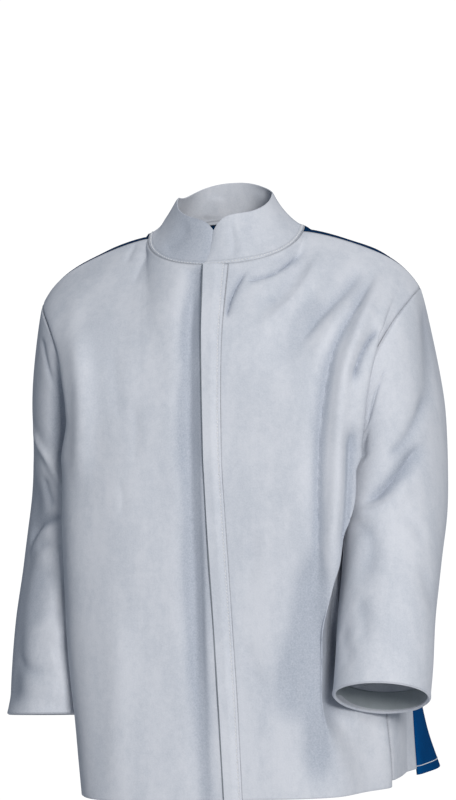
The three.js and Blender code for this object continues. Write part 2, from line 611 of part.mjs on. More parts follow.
// Values of u across a panel, with its edges moved by small lengths from the middle and the side.
function panelColumns(start, end) {
  const neck = steps(0, NECK_SHARE, NECK_COLUMNS);
  const shoulder = steps(NECK_SHARE, 1, SHOULDER_COLUMNS).slice(1);
  const columns = [...neck, ...shoulder];
  columns[0] = start;
  columns[columns.length - 1] = end;
  return columns;
}

function panelRows(hemLift) {
  const hem = (hemLift / (BODY_LENGTH - ARMPIT_DROP)) * YOKE_START;
  return [...steps(hem, YOKE_START, BODY_ROWS), ...steps(YOKE_START, 1, YOKE_ROWS).slice(1)];
}

// The last row is kept off the seam by half the gap: v just under 1.
function seamRows(rows, length) {
  const kept = rows.slice();
  kept[kept.length - 1] = 1 - (length / ARMPIT_DROP) * (YOKE_ROWS / (BODY_ROWS + YOKE_ROWS));
  return kept;
}

// Fronts: the right one runs past the middle under the placket, the left one stops at its seam.
function addFront(name, side, middleEdge) {
  const start = panelShare(middleEdge);
  const end = 1 - panelShare(SEAM_GAP / 2);
  const rows = seamRows(panelRows(0), SEAM_GAP / 2);
  let columns = panelColumns(start, end);
  if (side < 0) {
    columns = columns.reverse();
  }
  const points = grid(columns, rows, (u, v) => panelPoint(side, true, u, v));
  const normalAt = (j, i) => panelSeamNormal(side, true, columns[i], rows[j]);
  addPiece(name, wallGeometry(points, false, LEATHER / 2, -LEATHER / 2, normalAt), SUEDE);
}

// Shared normals of a panel along its shoulder seam and its side seam; elsewhere nothing.
function panelSeamNormal(side, front, u, v) {
  if (v > 0.99 && u > NECK_SHARE - 0.01) {
    return shoulderNormal(side, u);
  }
  if (u > 0.99 && v <= YOKE_START) {
    const rise = v / YOKE_START;
    return bodyNormal(side, seamAngle(front, rise), mix(-BODY_LENGTH, -ARMPIT_DROP, rise));
  }
  return null;
}

function addBack() {
  const rows = seamRows(panelRows(0), SEAM_GAP / 2);
  const half = panelColumns(0, 1 - panelShare(SEAM_GAP / 2));
  const columns = [...half.slice(1).reverse(), ...half.map((u) => -u)];
  const points = grid(columns, rows, (u, v) => panelPoint(u < 0 ? -1 : 1, false, Math.abs(u), v));
  const normalAt = (j, i) => panelSeamNormal(columns[i] < 0 ? -1 : 1, false, Math.abs(columns[i]), rows[j]);
  addPiece("back_panel", wallGeometry(points, false, COTTON / 2, -COTTON / 2, normalAt), BLUE_COTTON);
}

// Side pieces: from the front seam to the back seam, up to the armpit, a little short at the hem.
function addSide(name, side) {
  const gap = SEAM_GAP / 2 / CHEST_HALF_WIDTH;
  const rows = steps(0, 1, BODY_ROWS);
  rows[0] = SIDE_HEM_STEP / (BODY_LENGTH - ARMPIT_DROP);
  let columns = steps(0, 1, SIDE_COLUMNS);
  if (side < 0) {
    columns = columns.reverse();
  }
  const angleAt = (share, rise) => mix(seamAngle(true, rise) + gap, seamAngle(false, rise) - gap, share);
  const heightAt = (rise) => mix(-BODY_LENGTH, -ARMPIT_DROP, rise);
  const points = grid(columns, rows, (share, rise) => bodyPoint(side, angleAt(share, rise), heightAt(rise)));
  const normalAt = (j, i) => bodyNormal(side, angleAt(columns[i], rows[j]), heightAt(rows[j]));
  addPiece(name, wallGeometry(points, false, LEATHER / 2, -LEATHER / 2, normalAt), SUEDE);
}

// Rows in the opposite order, so that a tube that runs down faces outwards.
const flip = (points) => points.slice().reverse();

// Sleeve and the turned facing inside its cuff.
function addSleeve(name, facingName, side) {
  const turns = [
    ...steps(0, ARMPIT_TURN, YOKE_ROWS),
    ...steps(ARMPIT_TURN, 1 - ARMPIT_TURN, SIDE_COLUMNS).slice(1),
    ...steps(1 - ARMPIT_TURN, 1, YOKE_ROWS).slice(1, -1),
  ];
  const rows = steps(0, 1, SLEEVE_ROWS).map((t) => t ** 1.15);
  if (side > 0) {
    turns.reverse();
  }
  const plain = grid(turns, rows, (turn, along) => plainSleeve(side, turn, along));
  const outward = gridNormals(plain, true).map((row) => row.map((n) => n.map((c) => -c)));
  const points = rows.map((along, j) => turns.map((turn, i) => sleevePoint(side, turn, along, outward[j][i])));
  addPiece(name, wallGeometry(flip(points), true, LEATHER / 2, -LEATHER / 2), SUEDE);
  const length = side > 0 ? LEFT_SLEEVE_DROP : RIGHT_SLEEVE_DROP;
  const facingStart = 1 - CUFF_FACING_DEPTH / length;
  const facingRows = steps(facingStart, 1, FACING_ROWS);
  const inset = -(LEATHER + SEAM_GAP);
  const facing = grid(turns, facingRows, (turn, along) => plainSleeve(side, turn, along));
  const geometry = wallGeometry(flip(facing), true, inset + LEATHER / 2, inset - LEATHER / 2);
  addPiece(facingName, geometry, SUEDE_INSIDE);
}

// Collar band: a loop with lapped ends, share 0 at the under end and 1 at the over end on top of it.
// Its top is highest beside the front, and both ends have a rounded top corner.
function collarPoint(share, height) {
  const under = COLLAR_UNDER_END / NECK_FRONT_DEPTH;
  const over = COLLAR_OVER_END / NECK_FRONT_DEPTH;
  const [x, y, z] = neckPoint(mix(under, -2 * Math.PI - over, share));
  const facing = -y / (y < 0 ? NECK_FRONT_DEPTH : NECK_BACK_DEPTH);
  const topDepth = facing > 0 ? COLLAR_TOP_FRONT_DEPTH : COLLAR_TOP_BACK_DEPTH;
  const front = mix(COLLAR_UNDER_HEIGHT, COLLAR_OVER_HEIGHT, share);
  const rise = facing > 0
    ? mix(COLLAR_SIDE_HEIGHT, front, facing ** COLLAR_FRONT_RISE)
    : mix(COLLAR_SIDE_HEIGHT, COLLAR_BACK_HEIGHT, facing * facing);
  const short = clamp01(1 - (Math.min(share, 1 - share) * COLLAR_LENGTH) / COLLAR_CORNER);
  const corner = COLLAR_CORNER * (1 - Math.sqrt(1 - short * short));
  const lean = height ** COLLAR_LEAN;
  return [
    mix(x, (x / NECK_HALF_WIDTH) * COLLAR_TOP_HALF_WIDTH, lean),
    mix(y, -facing * topDepth, lean),
    z + (rise - corner) * height ** COLLAR_LIFT,
  ];
}

function addCollar() {
  const even = steps(1, 0, COLLAR_COLUMNS);
  const shares = even.map((t) => mix(t, t < 0.5 ? 2 * t * t : 1 - 2 * (1 - t) ** 2, COLLAR_END_DENSITY));
  const heights = steps(EDGE_CLEARANCE / COLLAR_SIDE_HEIGHT, 1, COLLAR_ROWS);
  const lap = (LEATHER + SEAM_GAP * 2) / 2;
  const near = (share) => ease(clamp01((COLLAR_LAP_START + COLLAR_LAP_SPREAD - share) / COLLAR_LAP_SPREAD));
  const layer = (share) => lap * (near(1 - share) - near(share));
  const points = grid(shares, heights, collarPoint);
  const outer = (i) => layer(shares[i]) + LEATHER / 2;
  const inner = (i) => layer(shares[i]) - LEATHER / 2;
  addPiece("collar", wallGeometry(points, false, outer, inner), SUEDE);
}

// A strip on the front beside the middle, at a height off the fronts that may change across it.
function stripGrid(fromX, toX, columns, bottom, top) {
  const start = (-bottom / (BODY_LENGTH - ARMPIT_DROP)) * YOKE_START;
  const rows = [start, ...panelRows(0).filter((v) => v > start + 0.01 && v < top - 0.01), top];
  return grid(steps(fromX, toX, columns), rows, (x, v) => {
    const side = x < 0 ? -1 : 1;
    return panelPoint(side, true, panelShare(Math.abs(x)), v);
  });
}

function addPlacket() {
  const half = PLACKET_WIDTH / 2;
  const sewn = LEATHER + SEAM_GAP;
  const stripBottom = LEATHER / 2 + SEAM_GAP;
  const stripTop = stripBottom + STRIP_THICKNESS;
  const facingLevel = stripTop + SEAM_GAP + LEATHER / 2;
  const stack = facingLevel + LEATHER + SEAM_GAP;
  const columns = 4;
  const neckStop = 1 - EDGE_CLEARANCE / ARMPIT_DROP;
  const level = (i) => mix(stack, sewn, ease(clamp01(mix(-1, 1, i / columns))));
  const placket = stripGrid(-half, half, columns, PLACKET_DROP, neckStop);
  const outer = (i) => level(i) + LEATHER / 2;
  const inner = (i) => level(i) - LEATHER / 2;
  addPiece("placket", wallGeometry(placket, false, outer, inner), SUEDE);
  const facingEdge = -half - FACING_SHOW;
  const facing = stripGrid(facingEdge, facingEdge + FACING_WIDTH, 2, FACING_DROP, neckStop);
  const facingWall = wallGeometry(facing, false, facingLevel + LEATHER / 2, facingLevel - LEATHER / 2);
  addPiece("placket_facing", facingWall, SUEDE_INSIDE);
  const stripEdge = -half + STRIP_INSET;
  const strip = stripGrid(stripEdge, stripEdge + STRIP_WIDTH, 1, -STRIP_HEM_LIFT, STRIP_TOP);
  addPiece("closure_strip", wallGeometry(strip, false, stripTop, stripBottom), HOOK_AND_LOOP);
}

addFront("front_left", 1, PLACKET_WIDTH / 2 - PLACKET_LAP);
addFront("front_right", -1, -RIGHT_FRONT_LAP);
addBack();
addSide("side_left", 1);
addSide("side_right", -1);
addSleeve("sleeve_left", "cuff_facing_left", 1);
addSleeve("sleeve_right", "cuff_facing_right", -1);
addCollar();
addPlacket();

export default jacket;
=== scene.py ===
"""Leather welding jacket, worn: suede panels, seams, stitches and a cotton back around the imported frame.

Lengths in the tables and constants are millimetres, as the frame's drawing has them, and every mesh
is scaled to metres as it is written. +Z is up, the front faces -Y and the wearer's left is +X.
"""

import math

import bpy
import numpy as np
from bpy.props import FloatProperty, FloatVectorProperty, IntProperty, PointerProperty
from bpy.types import Operator, Panel, PropertyGroup
from mathutils import Matrix, Vector


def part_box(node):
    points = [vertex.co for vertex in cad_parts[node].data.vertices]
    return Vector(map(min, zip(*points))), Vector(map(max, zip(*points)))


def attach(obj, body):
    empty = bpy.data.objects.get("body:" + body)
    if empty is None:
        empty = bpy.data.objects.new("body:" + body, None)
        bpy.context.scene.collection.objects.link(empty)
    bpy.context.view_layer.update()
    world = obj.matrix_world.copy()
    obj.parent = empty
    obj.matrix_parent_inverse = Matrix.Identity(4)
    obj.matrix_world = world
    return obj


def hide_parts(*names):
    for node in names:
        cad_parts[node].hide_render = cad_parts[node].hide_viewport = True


bl_info = {
    "name": "Welding Jacket",
    "version": (1, 0, 0),
    "blender": (4, 5, 0),
    "location": "View3D > Sidebar > Jacket",
    "description": "Builds a worn leather welding jacket around its packed frame",
    "category": "Add Mesh",
}

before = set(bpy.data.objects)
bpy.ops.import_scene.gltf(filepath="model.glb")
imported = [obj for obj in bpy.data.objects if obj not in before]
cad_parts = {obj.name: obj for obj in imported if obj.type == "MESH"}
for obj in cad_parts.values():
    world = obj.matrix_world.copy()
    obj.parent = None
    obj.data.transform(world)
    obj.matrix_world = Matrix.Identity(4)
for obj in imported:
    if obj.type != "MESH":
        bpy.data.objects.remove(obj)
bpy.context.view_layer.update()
MM = 0.001


# Sizes that the frame's solids have


def table(columns, *rows):
    """A short table as one array for each named column."""
    return dict(zip(columns.split(), np.array(rows, float).T))


LEATHER = 1.4
COTTON = 1.0
SEAM_GAP = 0.3

BODY_LENGTH = -1000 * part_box("back_panel")[0].z
ARMPIT_DROP = 290
CHEST_HALF_WIDTH = 209
FRONT_DEPTH = 146
BACK_DEPTH = 140
FRONT_SEAM_ANGLE = 71
BACK_SEAM_ANGLE = 107
BACK_SEAM_HEM_ANGLE = 97
SIDE_HEM_STEP = 8

NECK_HALF_WIDTH = 101
NECK_FRONT_DEPTH = 78
NECK_BACK_DEPTH = 76
NECK_FRONT_DROP = 47
NECK_BACK_RISE = 14
NECK_SQUARENESS = 2.3
SHOULDER_HALF_WIDTH = 244
SHOULDER_DROP = 84
SHOULDER_FORWARD = 9

COLLAR_TOP_HALF_WIDTH = 60
COLLAR_TOP_FRONT_DEPTH = 56
COLLAR_TOP_BACK_DEPTH = 62
COLLAR_OVER_HEIGHT = 62
COLLAR_UNDER_HEIGHT = 57
COLLAR_SIDE_HEIGHT = 43
COLLAR_BACK_HEIGHT = 50
COLLAR_LENGTH = 520
COLLAR_CORNER = 38
COLLAR_END_DIP = 6.5
COLLAR_DIP_LENGTH = 60
COLLAR_OVER_END = 16
COLLAR_UNDER_END = 3

PLACKET_WIDTH = 34
PLACKET_LAP = 12
PLACKET_DROP = 6
PLACKET_REBATE = 1.8
PLACKET_GROOVE = 1.1
FACING_WIDTH = 16
FACING_SHOW = 1.6
FACING_DROP = 3
STRIP_WIDTH = 10
STRIP_INSET = 3
STRIP_HEM_LIFT = 20
STRIP_THICKNESS = 1.2

SLEEVE_HALF_DEPTH = 88
LEFT_SLEEVE_DROP = 496
RIGHT_SLEEVE_DROP = 522
LEFT_REACH = 131
RIGHT_REACH = 42
CUFF_FACING_DEPTH = 30

ARMPIT_CLEARANCE = 2.4
ARM_CLEARANCE = 7

# Sections of the body from hem to armpit, as shares of the chest sizes; turn is in degrees.
BODY = table(
    "drop width front back square left right turn",
    (1.0, 0.975, 1.04, 1.04, 4.2, 0.36, 0.12, 5),
    (0.92, 0.98, 1.035, 1.01, 4.15, 0.24, 0.11, 4.5),
    (0.84, 0.985, 1.03, 0.99, 4.1, 0.15, 0.1, 4),
    (0.68, 1.0, 1.01, 0.95, 4.0, 0.07, 0.06, 2.6),
    (0.54, 1.0, 1.0, 0.96, 3.9, 0.02, 0.02, 1.2),
    (ARMPIT_DROP / BODY_LENGTH, 1.0, 0.97, 1.0, 3.6, 0, 0, 0),
)

# Middle lines above the armpit; depth is a share of the front's or the back's depth.
FRONT_MIDDLE = table(
    "rise depth",
    (-0.36, 1.0), (0, 0.97), (0.35, 0.925), (0.65, 0.82), (0.87, 0.65), (1, NECK_FRONT_DEPTH / FRONT_DEPTH),
)
BACK_MIDDLE = table(
    "rise depth",
    (-0.36, 0.97), (0, 1.0), (0.35, 1.0), (0.65, 0.92), (0.87, 0.74), (1, NECK_BACK_DEPTH / BACK_DEPTH),
)

# Armhole edges above the armpit: shares of the shoulder's half width, the armpit's drop and the
# sleeve's half depth.
ARMHOLE_FRONT = table(
    "out drop depth",
    (0.695, 0.81, -1.0), (0.77, 0.62, -1.02), (0.875, 0.45, -0.78), (0.965, 0.335, -0.36),
)
ARMHOLE_BACK = table(
    "out drop depth",
    (0.76, 0.81, 1.03), (0.83, 0.62, 1.02), (0.92, 0.45, 0.74), (0.985, 0.335, 0.32),
)

# Rings of a sleeve from armhole to cuff, in the same shares as the frame's drawing has.
RING_COLUMNS = "inner inner_fall outer outer_fall forward depth tilt skew"
LEFT_RINGS = table(
    RING_COLUMNS,
    (0.655, 0, 1.0, 0, 0, 1.0, 0, 0),
    (0.665, 0.018, 1.045, 0.1, 0.05, 0.95, 1, 0.1),
    (0.665, 0.045, 1.07, 0.21, 0.09, 0.9, 4, 0.2),
    (0.655, 0.09, 1.09, 0.32, 0.15, 0.84, 8, 0.25),
    (0.635, 0.17, 1.1, 0.43, 0.24, 0.79, 12, 0.25),
    (0.615, 0.29, 1.1, 0.54, 0.34, 0.745, 16, 0.2),
    (0.595, 0.45, 1.085, 0.66, 0.5, 0.715, 20, 0.1),
    (0.58, 0.66, 1.07, 0.79, 0.71, 0.7, 23, 0),
    (0.57, 0.85, 1.055, 0.91, 0.87, 0.69, 25, 0),
    (0.56, 1, 1.035, 1, 1, 0.68, 25, 0),
)
RIGHT_RINGS = table(
    RING_COLUMNS,
    (0.655, 0, 1.0, 0, 0, 1.0, 0, 0),
    (0.7, 0.02, 1.035, 0.1, 0, 0.95, 0, 0),
    (0.68, 0.045, 1.06, 0.2, -0.1, 0.9, 1, 0),
    (0.64, 0.085, 1.075, 0.31, -0.2, 0.83, 2, 0),
    (0.645, 0.155, 1.09, 0.41, -0.25, 0.77, 4, 0),
    (0.66, 0.26, 1.12, 0.52, -0.2, 0.725, 6, 0),
    (0.68, 0.41, 1.155, 0.64, 0.05, 0.7, 7, 0),
    (0.705, 0.6, 1.19, 0.77, 0.45, 0.69, 8, 0),
    (0.73, 0.82, 1.205, 0.9, 0.8, 0.68, 8, 0),
    (0.745, 1, 1.21, 1, 1, 0.675, 8, 0),
)

# Folds and creases, each as its path, width, height, sharpness and lean. The places of a path lie
# across and down: on the fronts and the back as shares of CHEST_HALF_WIDTH and BODY_LENGTH, on a
# sleeve as the turn from its outer side and the share of the way to the cuff, and on the collar as the
# share of its length from the under end and of its height. Sharpness is 2 for a soft fold and 1 for a
# creased one, and lean makes one side of the path wider than the other.
FRONT_FOLDS = (
    # Creases and pulls below the collar, wearer's left
    (((0.19, -0.078), (0.145, -0.097), (0.11, -0.119), (0.085, -0.145), (0.08, -0.17)), 3.4, -7.0, 1.1, 0),
    (((0.17, -0.099), (0.24, -0.095), (0.34, -0.087), (0.44, -0.066), (0.5, -0.045)), 3.4, -6.0, 1.1, 0),
    (((0.3, -0.07), (0.4, -0.06), (0.5, -0.035)), 12, -3.0, 2, 0),
    (((0.6, -0.05), (0.55, -0.09), (0.47, -0.131), (0.36, -0.165), (0.25, -0.195)), 9, 4.4, 1.7, 0),
    (((0.53, -0.06), (0.47, -0.09), (0.38, -0.125), (0.24, -0.165)), 12, -3.4, 2, 0),
    (((0.86, -0.075), (0.78, -0.113), (0.7, -0.142), (0.6, -0.175), (0.47, -0.235)), 8.5, -5.8, 1.4, 0),
    (((0.83, -0.14), (0.77, -0.165), (0.68, -0.205), (0.57, -0.255)), 11, 3.4, 1.8, 0),
    (((0.66, -0.12), (0.55, -0.155), (0.46, -0.21), (0.42, -0.28)), 22, -3.6, 2, 0),
    # Long fold from the shoulder down beside the armhole: its valley, its ridge and the gap behind it
    (
        ((0.945, -0.075), (0.881, -0.12), (0.765, -0.185), (0.699, -0.234), (0.643, -0.333), (0.612, -0.445),
         (0.6, -0.571), (0.59, -0.67)),
        9, -10.0, 1.35, 0,
    ),
    (
        ((0.98, -0.08), (0.93, -0.12), (0.845, -0.2), (0.775, -0.273), (0.735, -0.357), (0.705, -0.486),
         (0.66, -0.595), (0.63, -0.7)),
        9.5, 6.5, 2, 0,
    ),
    (((0.98, -0.19), (0.91, -0.212), (0.85, -0.25), (0.81, -0.3)), 6, -10.0, 1.4, 0),
    (((0.815, -0.35), (0.8, -0.4), (0.785, -0.46), (0.765, -0.54), (0.74, -0.62)), 8, -10.0, 1.8, 0),
    # Hollow under the cuff
    (((0.64, -0.56), (0.55, -0.67), (0.46, -0.77), (0.36, -0.89)), 25, -10.0, 2, 0),
    (((0.62, -0.64), (0.6, -0.76), (0.58, -0.88), (0.54, -1.0)), 20, -10.0, 2, 0),
    (((0.74, -0.66), (0.735, -0.8), (0.72, -0.95)), 16, 5.0, 2, 0),
    (((0.23, -0.53), (0.215, -0.59), (0.18, -0.65)), 9, -1.3, 2, 0),
    (((0.17, -0.72), (0.2, -0.77), (0.26, -0.82)), 9, -1.1, 2, 0),
    # Valley beside the placket's free edge
    (
        ((-0.125, 0.06), (-0.13, -0.06), (-0.145, -0.17), (-0.14, -0.27), (-0.145, -0.38), (-0.14, -0.5),
         (-0.135, -0.65), (-0.13, -0.85), (-0.125, -1.3)),
        11.5, -8.5, 1.9, 0,
    ),
    (((-0.14, -0.11), (-0.15, -0.175), (-0.14, -0.24)), 10, -3.0, 2, 0),
    (((-0.15, -0.25), (-0.165, -0.34), (-0.15, -0.45)), 14, -3.0, 2, 0),
    (((-0.15, -0.5), (-0.16, -0.66), (-0.15, -0.85)), 15, -2.5, 2, 0),
    # The edge that hangs in front of the arm
    (((-0.86, -0.16), (-0.8, -0.26), (-0.79, -0.35), (-0.83, -0.47)), 13, 8.0, 2, 0),
    (((-0.9, -0.26), (-0.92, -0.42), (-0.92, -0.6), (-0.91, -0.8), (-0.9, -1.1)), 26, 6.0, 2, 0),
    # Faint folds of the wearer's right front
    (((-0.47, -0.3), (-0.455, -0.359), (-0.475, -0.42)), 7, -1.2, 1.7, 0),
    (((-0.61, -0.2), (-0.58, -0.275), (-0.56, -0.34)), 9, -1.2, 2, 0),
    (((-0.565, -0.44), (-0.545, -0.476), (-0.555, -0.51)), 5.5, -0.9, 1.6, 0),
    (((-0.55, -0.01), (-0.57, -0.033), (-0.6, -0.06)), 4, -1.8, 1.4, 0),
    (((-0.46, -0.03), (-0.49, -0.06), (-0.53, -0.1)), 5, -1.4, 1.6, 0),
    (((-0.58, -0.66), (-0.605, -0.825), (-0.63, -1.02)), 18, 2.6, 2, 0),
    (((-0.84, -0.69), (-0.639, -0.674), (-0.42, -0.661)), 2.6, -0.45, 1.4, 0),
    (((-0.86, -0.1), (-0.9, -0.2), (-0.86, -0.3)), 14, 2.0, 2, 0),
)
BACK_FOLDS = (
    (((0.6, -0.2), (0.5, -0.5), (0.48, -0.95)), 34, 6.8, 2, 0),
    (((-0.6, -0.2), (-0.5, -0.5), (-0.48, -0.95)), 34, 6.8, 2, 0),
    (((0.12, -0.3), (0.08, -0.6), (0.1, -0.98)), 30, -6, 2, 0),
    (((-0.28, -0.45), (-0.24, -0.7), (-0.26, -0.98)), 27, -4.8, 2, 0),
    (((0.7, -0.24), (0.35, -0.3), (0.02, -0.26)), 14, -3.0, 1.6, 0.3),
    (((-0.7, -0.24), (-0.38, -0.29), (-0.05, -0.27)), 14, -3.0, 1.6, 0.3),
    (((0.85, -0.4), (0.74, -0.55), (0.7, -0.75)), 12, -3.0, 1.6, 0.3),
    (((-0.85, -0.4), (-0.72, -0.55), (-0.7, -0.78)), 12, -3.0, 1.6, 0.3),
)
COLLAR_FOLDS = (
    (((0.925, 0.12), (0.918, 0.5), (0.922, 0.9)), 4.5, -1.3, 2, 0),
    (((0.905, 0.1), (0.895, 0.45), (0.9, 0.95)), 5, 0.9, 2, 0),
    (((0.84, 0.2), (0.86, 0.55), (0.88, 0.95)), 9, -1.6, 2, 0),
    (((0.16, 0.15), (0.14, 0.5), (0.12, 0.9)), 12, -1.8, 2, 0),
    (((0.26, 0.3), (0.24, 0.7), (0.25, 1.1)), 14, 1.5, 2, 0),
    (((0.4, 0.2), (0.42, 0.8)), 16, -1.5, 2, 0),
    (((0.6, 0.3), (0.58, 0.9)), 16, -1.5, 2, 0),
)
LEFT_SLEEVE_FOLDS = (
    # Elbow
    (
        ((0.08, 0.395), (0.13, 0.44), (0.165, 0.475), (0.21, 0.51), (0.255, 0.535), (0.33, 0.548)),
        15, -6.0, 1.9, 0,
    ),
    (
        ((0.1, 0.41), (0.13, 0.44), (0.165, 0.475), (0.21, 0.51), (0.255, 0.537), (0.32, 0.55)),
        5.5, -6.5, 1.2, 0,
    ),
    (((0.38, 0.56), (0.3, 0.582), (0.23, 0.572), (0.18, 0.54), (0.14, 0.5)), 10, 3.4, 2, 0),
    (((0.06, 0.27), (0.11, 0.34), (0.16, 0.395), (0.23, 0.43)), 10, -4.4, 1.7, 0),
    (((0.2, 0.59), (0.15, 0.62), (0.09, 0.665)), 9, -2.2, 2, 0),
    (((0.38, 0.12), (0.4, 0.25), (0.405, 0.38), (0.4, 0.48)), 14, 3.6, 2, 0),
    (((0.3, 0.24), (0.31, 0.32), (0.3, 0.4)), 8, -2.4, 1.8, 0),
    # Upper arm
    (((0.0, 0.12), (0.042, 0.234), (0.08, 0.34)), 15, -4.2, 2, 0),
    (((0.25, 0.05), (0.272, 0.08), (0.29, 0.12)), 4.5, -2.2, 1.4, 0),
    (((0.235, 0.165), (0.267, 0.185), (0.295, 0.22)), 4, -2.6, 1.3, 0),
    (((0.19, 0.155), (0.242, 0.185), (0.31, 0.25)), 4, -2.4, 1.3, 0),
    # Forearm
    (((0.37, 0.59), (0.31, 0.62), (0.28, 0.66), (0.29, 0.71), (0.35, 0.75)), 13, -3.4, 1.8, 0),
    (((0.34, 0.78), (0.305, 0.825), (0.3, 0.9)), 11, -2.2, 2, 0),
    (((0.4, 0.83), (0.37, 0.88), (0.34, 0.95)), 11, -2.2, 2, 0),
    (((0.12, 0.7), (0.08, 0.76), (0.02, 0.8)), 12, -1.8, 2, 0),
    (((0.62, 0.5), (0.75, 0.52), (0.88, 0.5)), 17, -5, 2, 0),
    (((0.66, 0.62), (0.78, 0.6), (0.9, 0.63)), 9, -3, 1.6, 0),
)
RIGHT_SLEEVE_FOLDS = (
    # Upper arm, beside the body
    (((0.235, 0.06), (0.262, 0.17), (0.268, 0.28), (0.268, 0.43)), 19, -13.0, 2, 0),
    (((0.08, 0.3), (0.13, 0.345), (0.185, 0.38), (0.23, 0.43), (0.275, 0.49)), 9, 3.4, 2, 0),
    (((0.11, 0.12), (0.15, 0.142), (0.21, 0.175)), 7, -2.2, 1.7, 0),
    # Elbow
    (((0.16, 0.44), (0.19, 0.49), (0.225, 0.535)), 8, -3.0, 1.8, 0),
    (((0.07, 0.62), (0.13, 0.59), (0.2, 0.567), (0.3, 0.545)), 8, -6.5, 1.5, 0),
    (((0.15, 0.635), (0.221, 0.625), (0.29, 0.63)), 6, -2.0, 1.7, 0),
    (((0.09, 0.655), (0.16, 0.6), (0.24, 0.585)), 9, 2.0, 2, 0),
    # Forearm, flattened towards its outer side
    (((0.11, 0.42), (0.11, 0.6), (0.1, 0.8), (0.1, 1.3)), 32, -8.0, 2, 0),
    (((0.3, 0.5), (0.31, 0.65), (0.31, 0.8), (0.31, 1.3)), 20, 5.0, 2, 0),
    (((0.35, 0.71), (0.308, 0.759), (0.27, 0.82)), 13, -4.0, 2, 0),
    (((0.28, 0.875), (0.333, 0.849), (0.38, 0.82)), 11, -3.4, 2, 0),
    (((0.09, 0.85), (0.16, 0.88), (0.24, 0.9), (0.31, 0.895), (0.38, 0.87)), 9, -2.6, 1.8, 0),
    (((0.22, 0.66), (0.2, 0.74), (0.21, 0.82)), 20, -3.0, 2, 0),
    (((0.62, 0.52), (0.75, 0.54), (0.88, 0.52)), 17, -5, 2, 0),
    (((0.66, 0.64), (0.78, 0.62), (0.9, 0.65)), 9, -3, 1.6, 0),
)

# A fold's height fades over this share of its path at each end
FOLD_END = 0.25
FOLD_STEPS = 5

# Rows of stitches: their distances from the edges, the share of the pitch that a stitch covers, and the
# line that they draw into the leather
HEM_STITCH_LIFT = 11
HEM_STITCH_PITCH = 2.6
HEM_STITCH_RAISE = 0.15
HEM_STITCH_SHARE = 0.8
STITCH_SHARE = 0.62
STITCH_DIP = 0.55
COLLAR_STITCH_LIFT = 6.5
PLACKET_STITCH_INSET = 5
STITCH_GROOVE = 1.0
STITCH_SINK = 0.35
STITCH_SHADE = 0.3

# Seams: width of the dip, and of the dark mark along a seam on the leather and at the side pieces
DIP_WIDTH = 2.2
MARK_WIDTH = 0.9
SIDE_MARK_WIDTH = 1.5
NECK_DIP_SHARE = 0.4
TOP_DIP = 1.0
COLLAR_DIP_SHARE = 1.2
COLLAR_MARK_SHARE = 0.6

# Distances over which folds fade out at a panel's top seam, its side seam and the placket, and shares
# of a sleeve's length over which its folds and waves do
TOP_FADE = 13
SIDE_FADE = 9
PLACKET_FADE_START = 11
PLACKET_FADE = 8
SLEEVE_FADE = 0.03
CUFF_FADE = 0.06
SLEEVE_WAVE_FADE = 0.08

# The leather's own waves: lengths from crest to crest, and a seed for each piece. The hanging ones are
# narrower, lower and stretched downwards.
WAVES = 12
WAVE_LENGTH = 130
HANGING_WAVE_LENGTH = 60
HANGING_WAVE_HEIGHT = 0.6
HANGING_STRETCH = (1, 1, 0.35)
HANGING_SEED = 30
COLLAR_WAVE_LENGTH = 70
PLACKET_WAVE_LENGTH = 60
PLACKET_WAVE_HEIGHT = 0.5
FRONT_SEED = 3
BACK_SEED = 5
SLEEVE_SEED = 7
COLLAR_SEED = 11
PLACKET_SEED = 13

# Where the wearer's right front hangs over its armhole, and how far
HANG_DROP = 232
HANG_LENGTH = 46
HANG_REACH = 70
HANG_OUT = np.array([-11.0, -3.5, 0.0])

# Painted shade, as a height of fold taken off the fold mark: how much darker the nap is made beside the
# closure and at the collar's under end
CLOSURE_SHADE = 5
CLOSURE_SHADE_WIDTH = 11
COLLAR_SHADE = 5
COLLAR_SHADE_END = 0.27
COLLAR_SHADE_BLEND = 0.15

# The roll behind each shoulder seam: its heights at the tip and at the neck, the shares of the way out
# where it changes, starts and ends, each with its blend, its place below the seam, and the reach and
# blend of the painted shade that darkens the cotton along the back's top seam
ROLL_TIP_HEIGHT = 7
ROLL_NECK_HEIGHT = 12
ROLL_CHANGE = (0.85, 0.35)
ROLL_START = (0.36, 0.08)
ROLL_END = (0.97, 0.2)
ROLL_DROP = 15
ROLL_WIDTH = 11
ROLL_PAINTED_SHADE = (24, 16)

# The cuff's rolled rim: its reach up the sleeve, and how far it thickens outwards and inwards. The
# facing starts above it.
RIM_REACH = 4.2
RIM_OUT = 0.7
RIM_IN = 2.3
CUFF_FACING_START = 3
CUFF_FACING_ROWS = 14

# The collar's ends: the share of its length in the lap, its blend, and the row that is sunk into the seam
COLLAR_LAP = 0.2
COLLAR_LAP_BLEND = 0.12
COLLAR_SUNK_SCALE = (0.985, 0.985, 1)
COLLAR_SUNK_DROP = (0, 0, -1.6)

# The placket: where its flap starts to drop off the layers under it, and its rounded edge
FLAP_START = -0.8
FLAP_EDGE_DROP = 0.5
FLAP_EDGE_WIDTH = 1.2
PLACKET_TOP = 1 - 0.9 / ARMPIT_DROP
STRIP_TOP = 0.93

# The wearer's right front runs on past the middle under the placket
UNDER_LAP = 2

# Grid steps: how much finer each piece is than the detail, and the lengths that its steps are counted on
FRONT_FINER = 1.25
BACK_FINER = 0.9
SLEEVE_FINER = 1.2
COLLAR_FINER = 1.3
COLLAR_RISE_FINER = 1.64
COLLAR_MEAN_HEIGHT = 55
HALF_PANEL = 150
SIDE_PIECE_WIDTH = 110
BENT_SHARE = 1.1
EDGE_PLACES = np.array([0.0, 0.4, 0.9, 1.5, 2.3, 3.3, 4.5])
EDGE_ROUNDING = 0.42

# Girths of a sleeve's folds, its grid and its cuff, as shares of the armhole's
FOLD_GIRTH = 0.72
GRID_GIRTH = 0.8
CUFF_GIRTH = 0.7

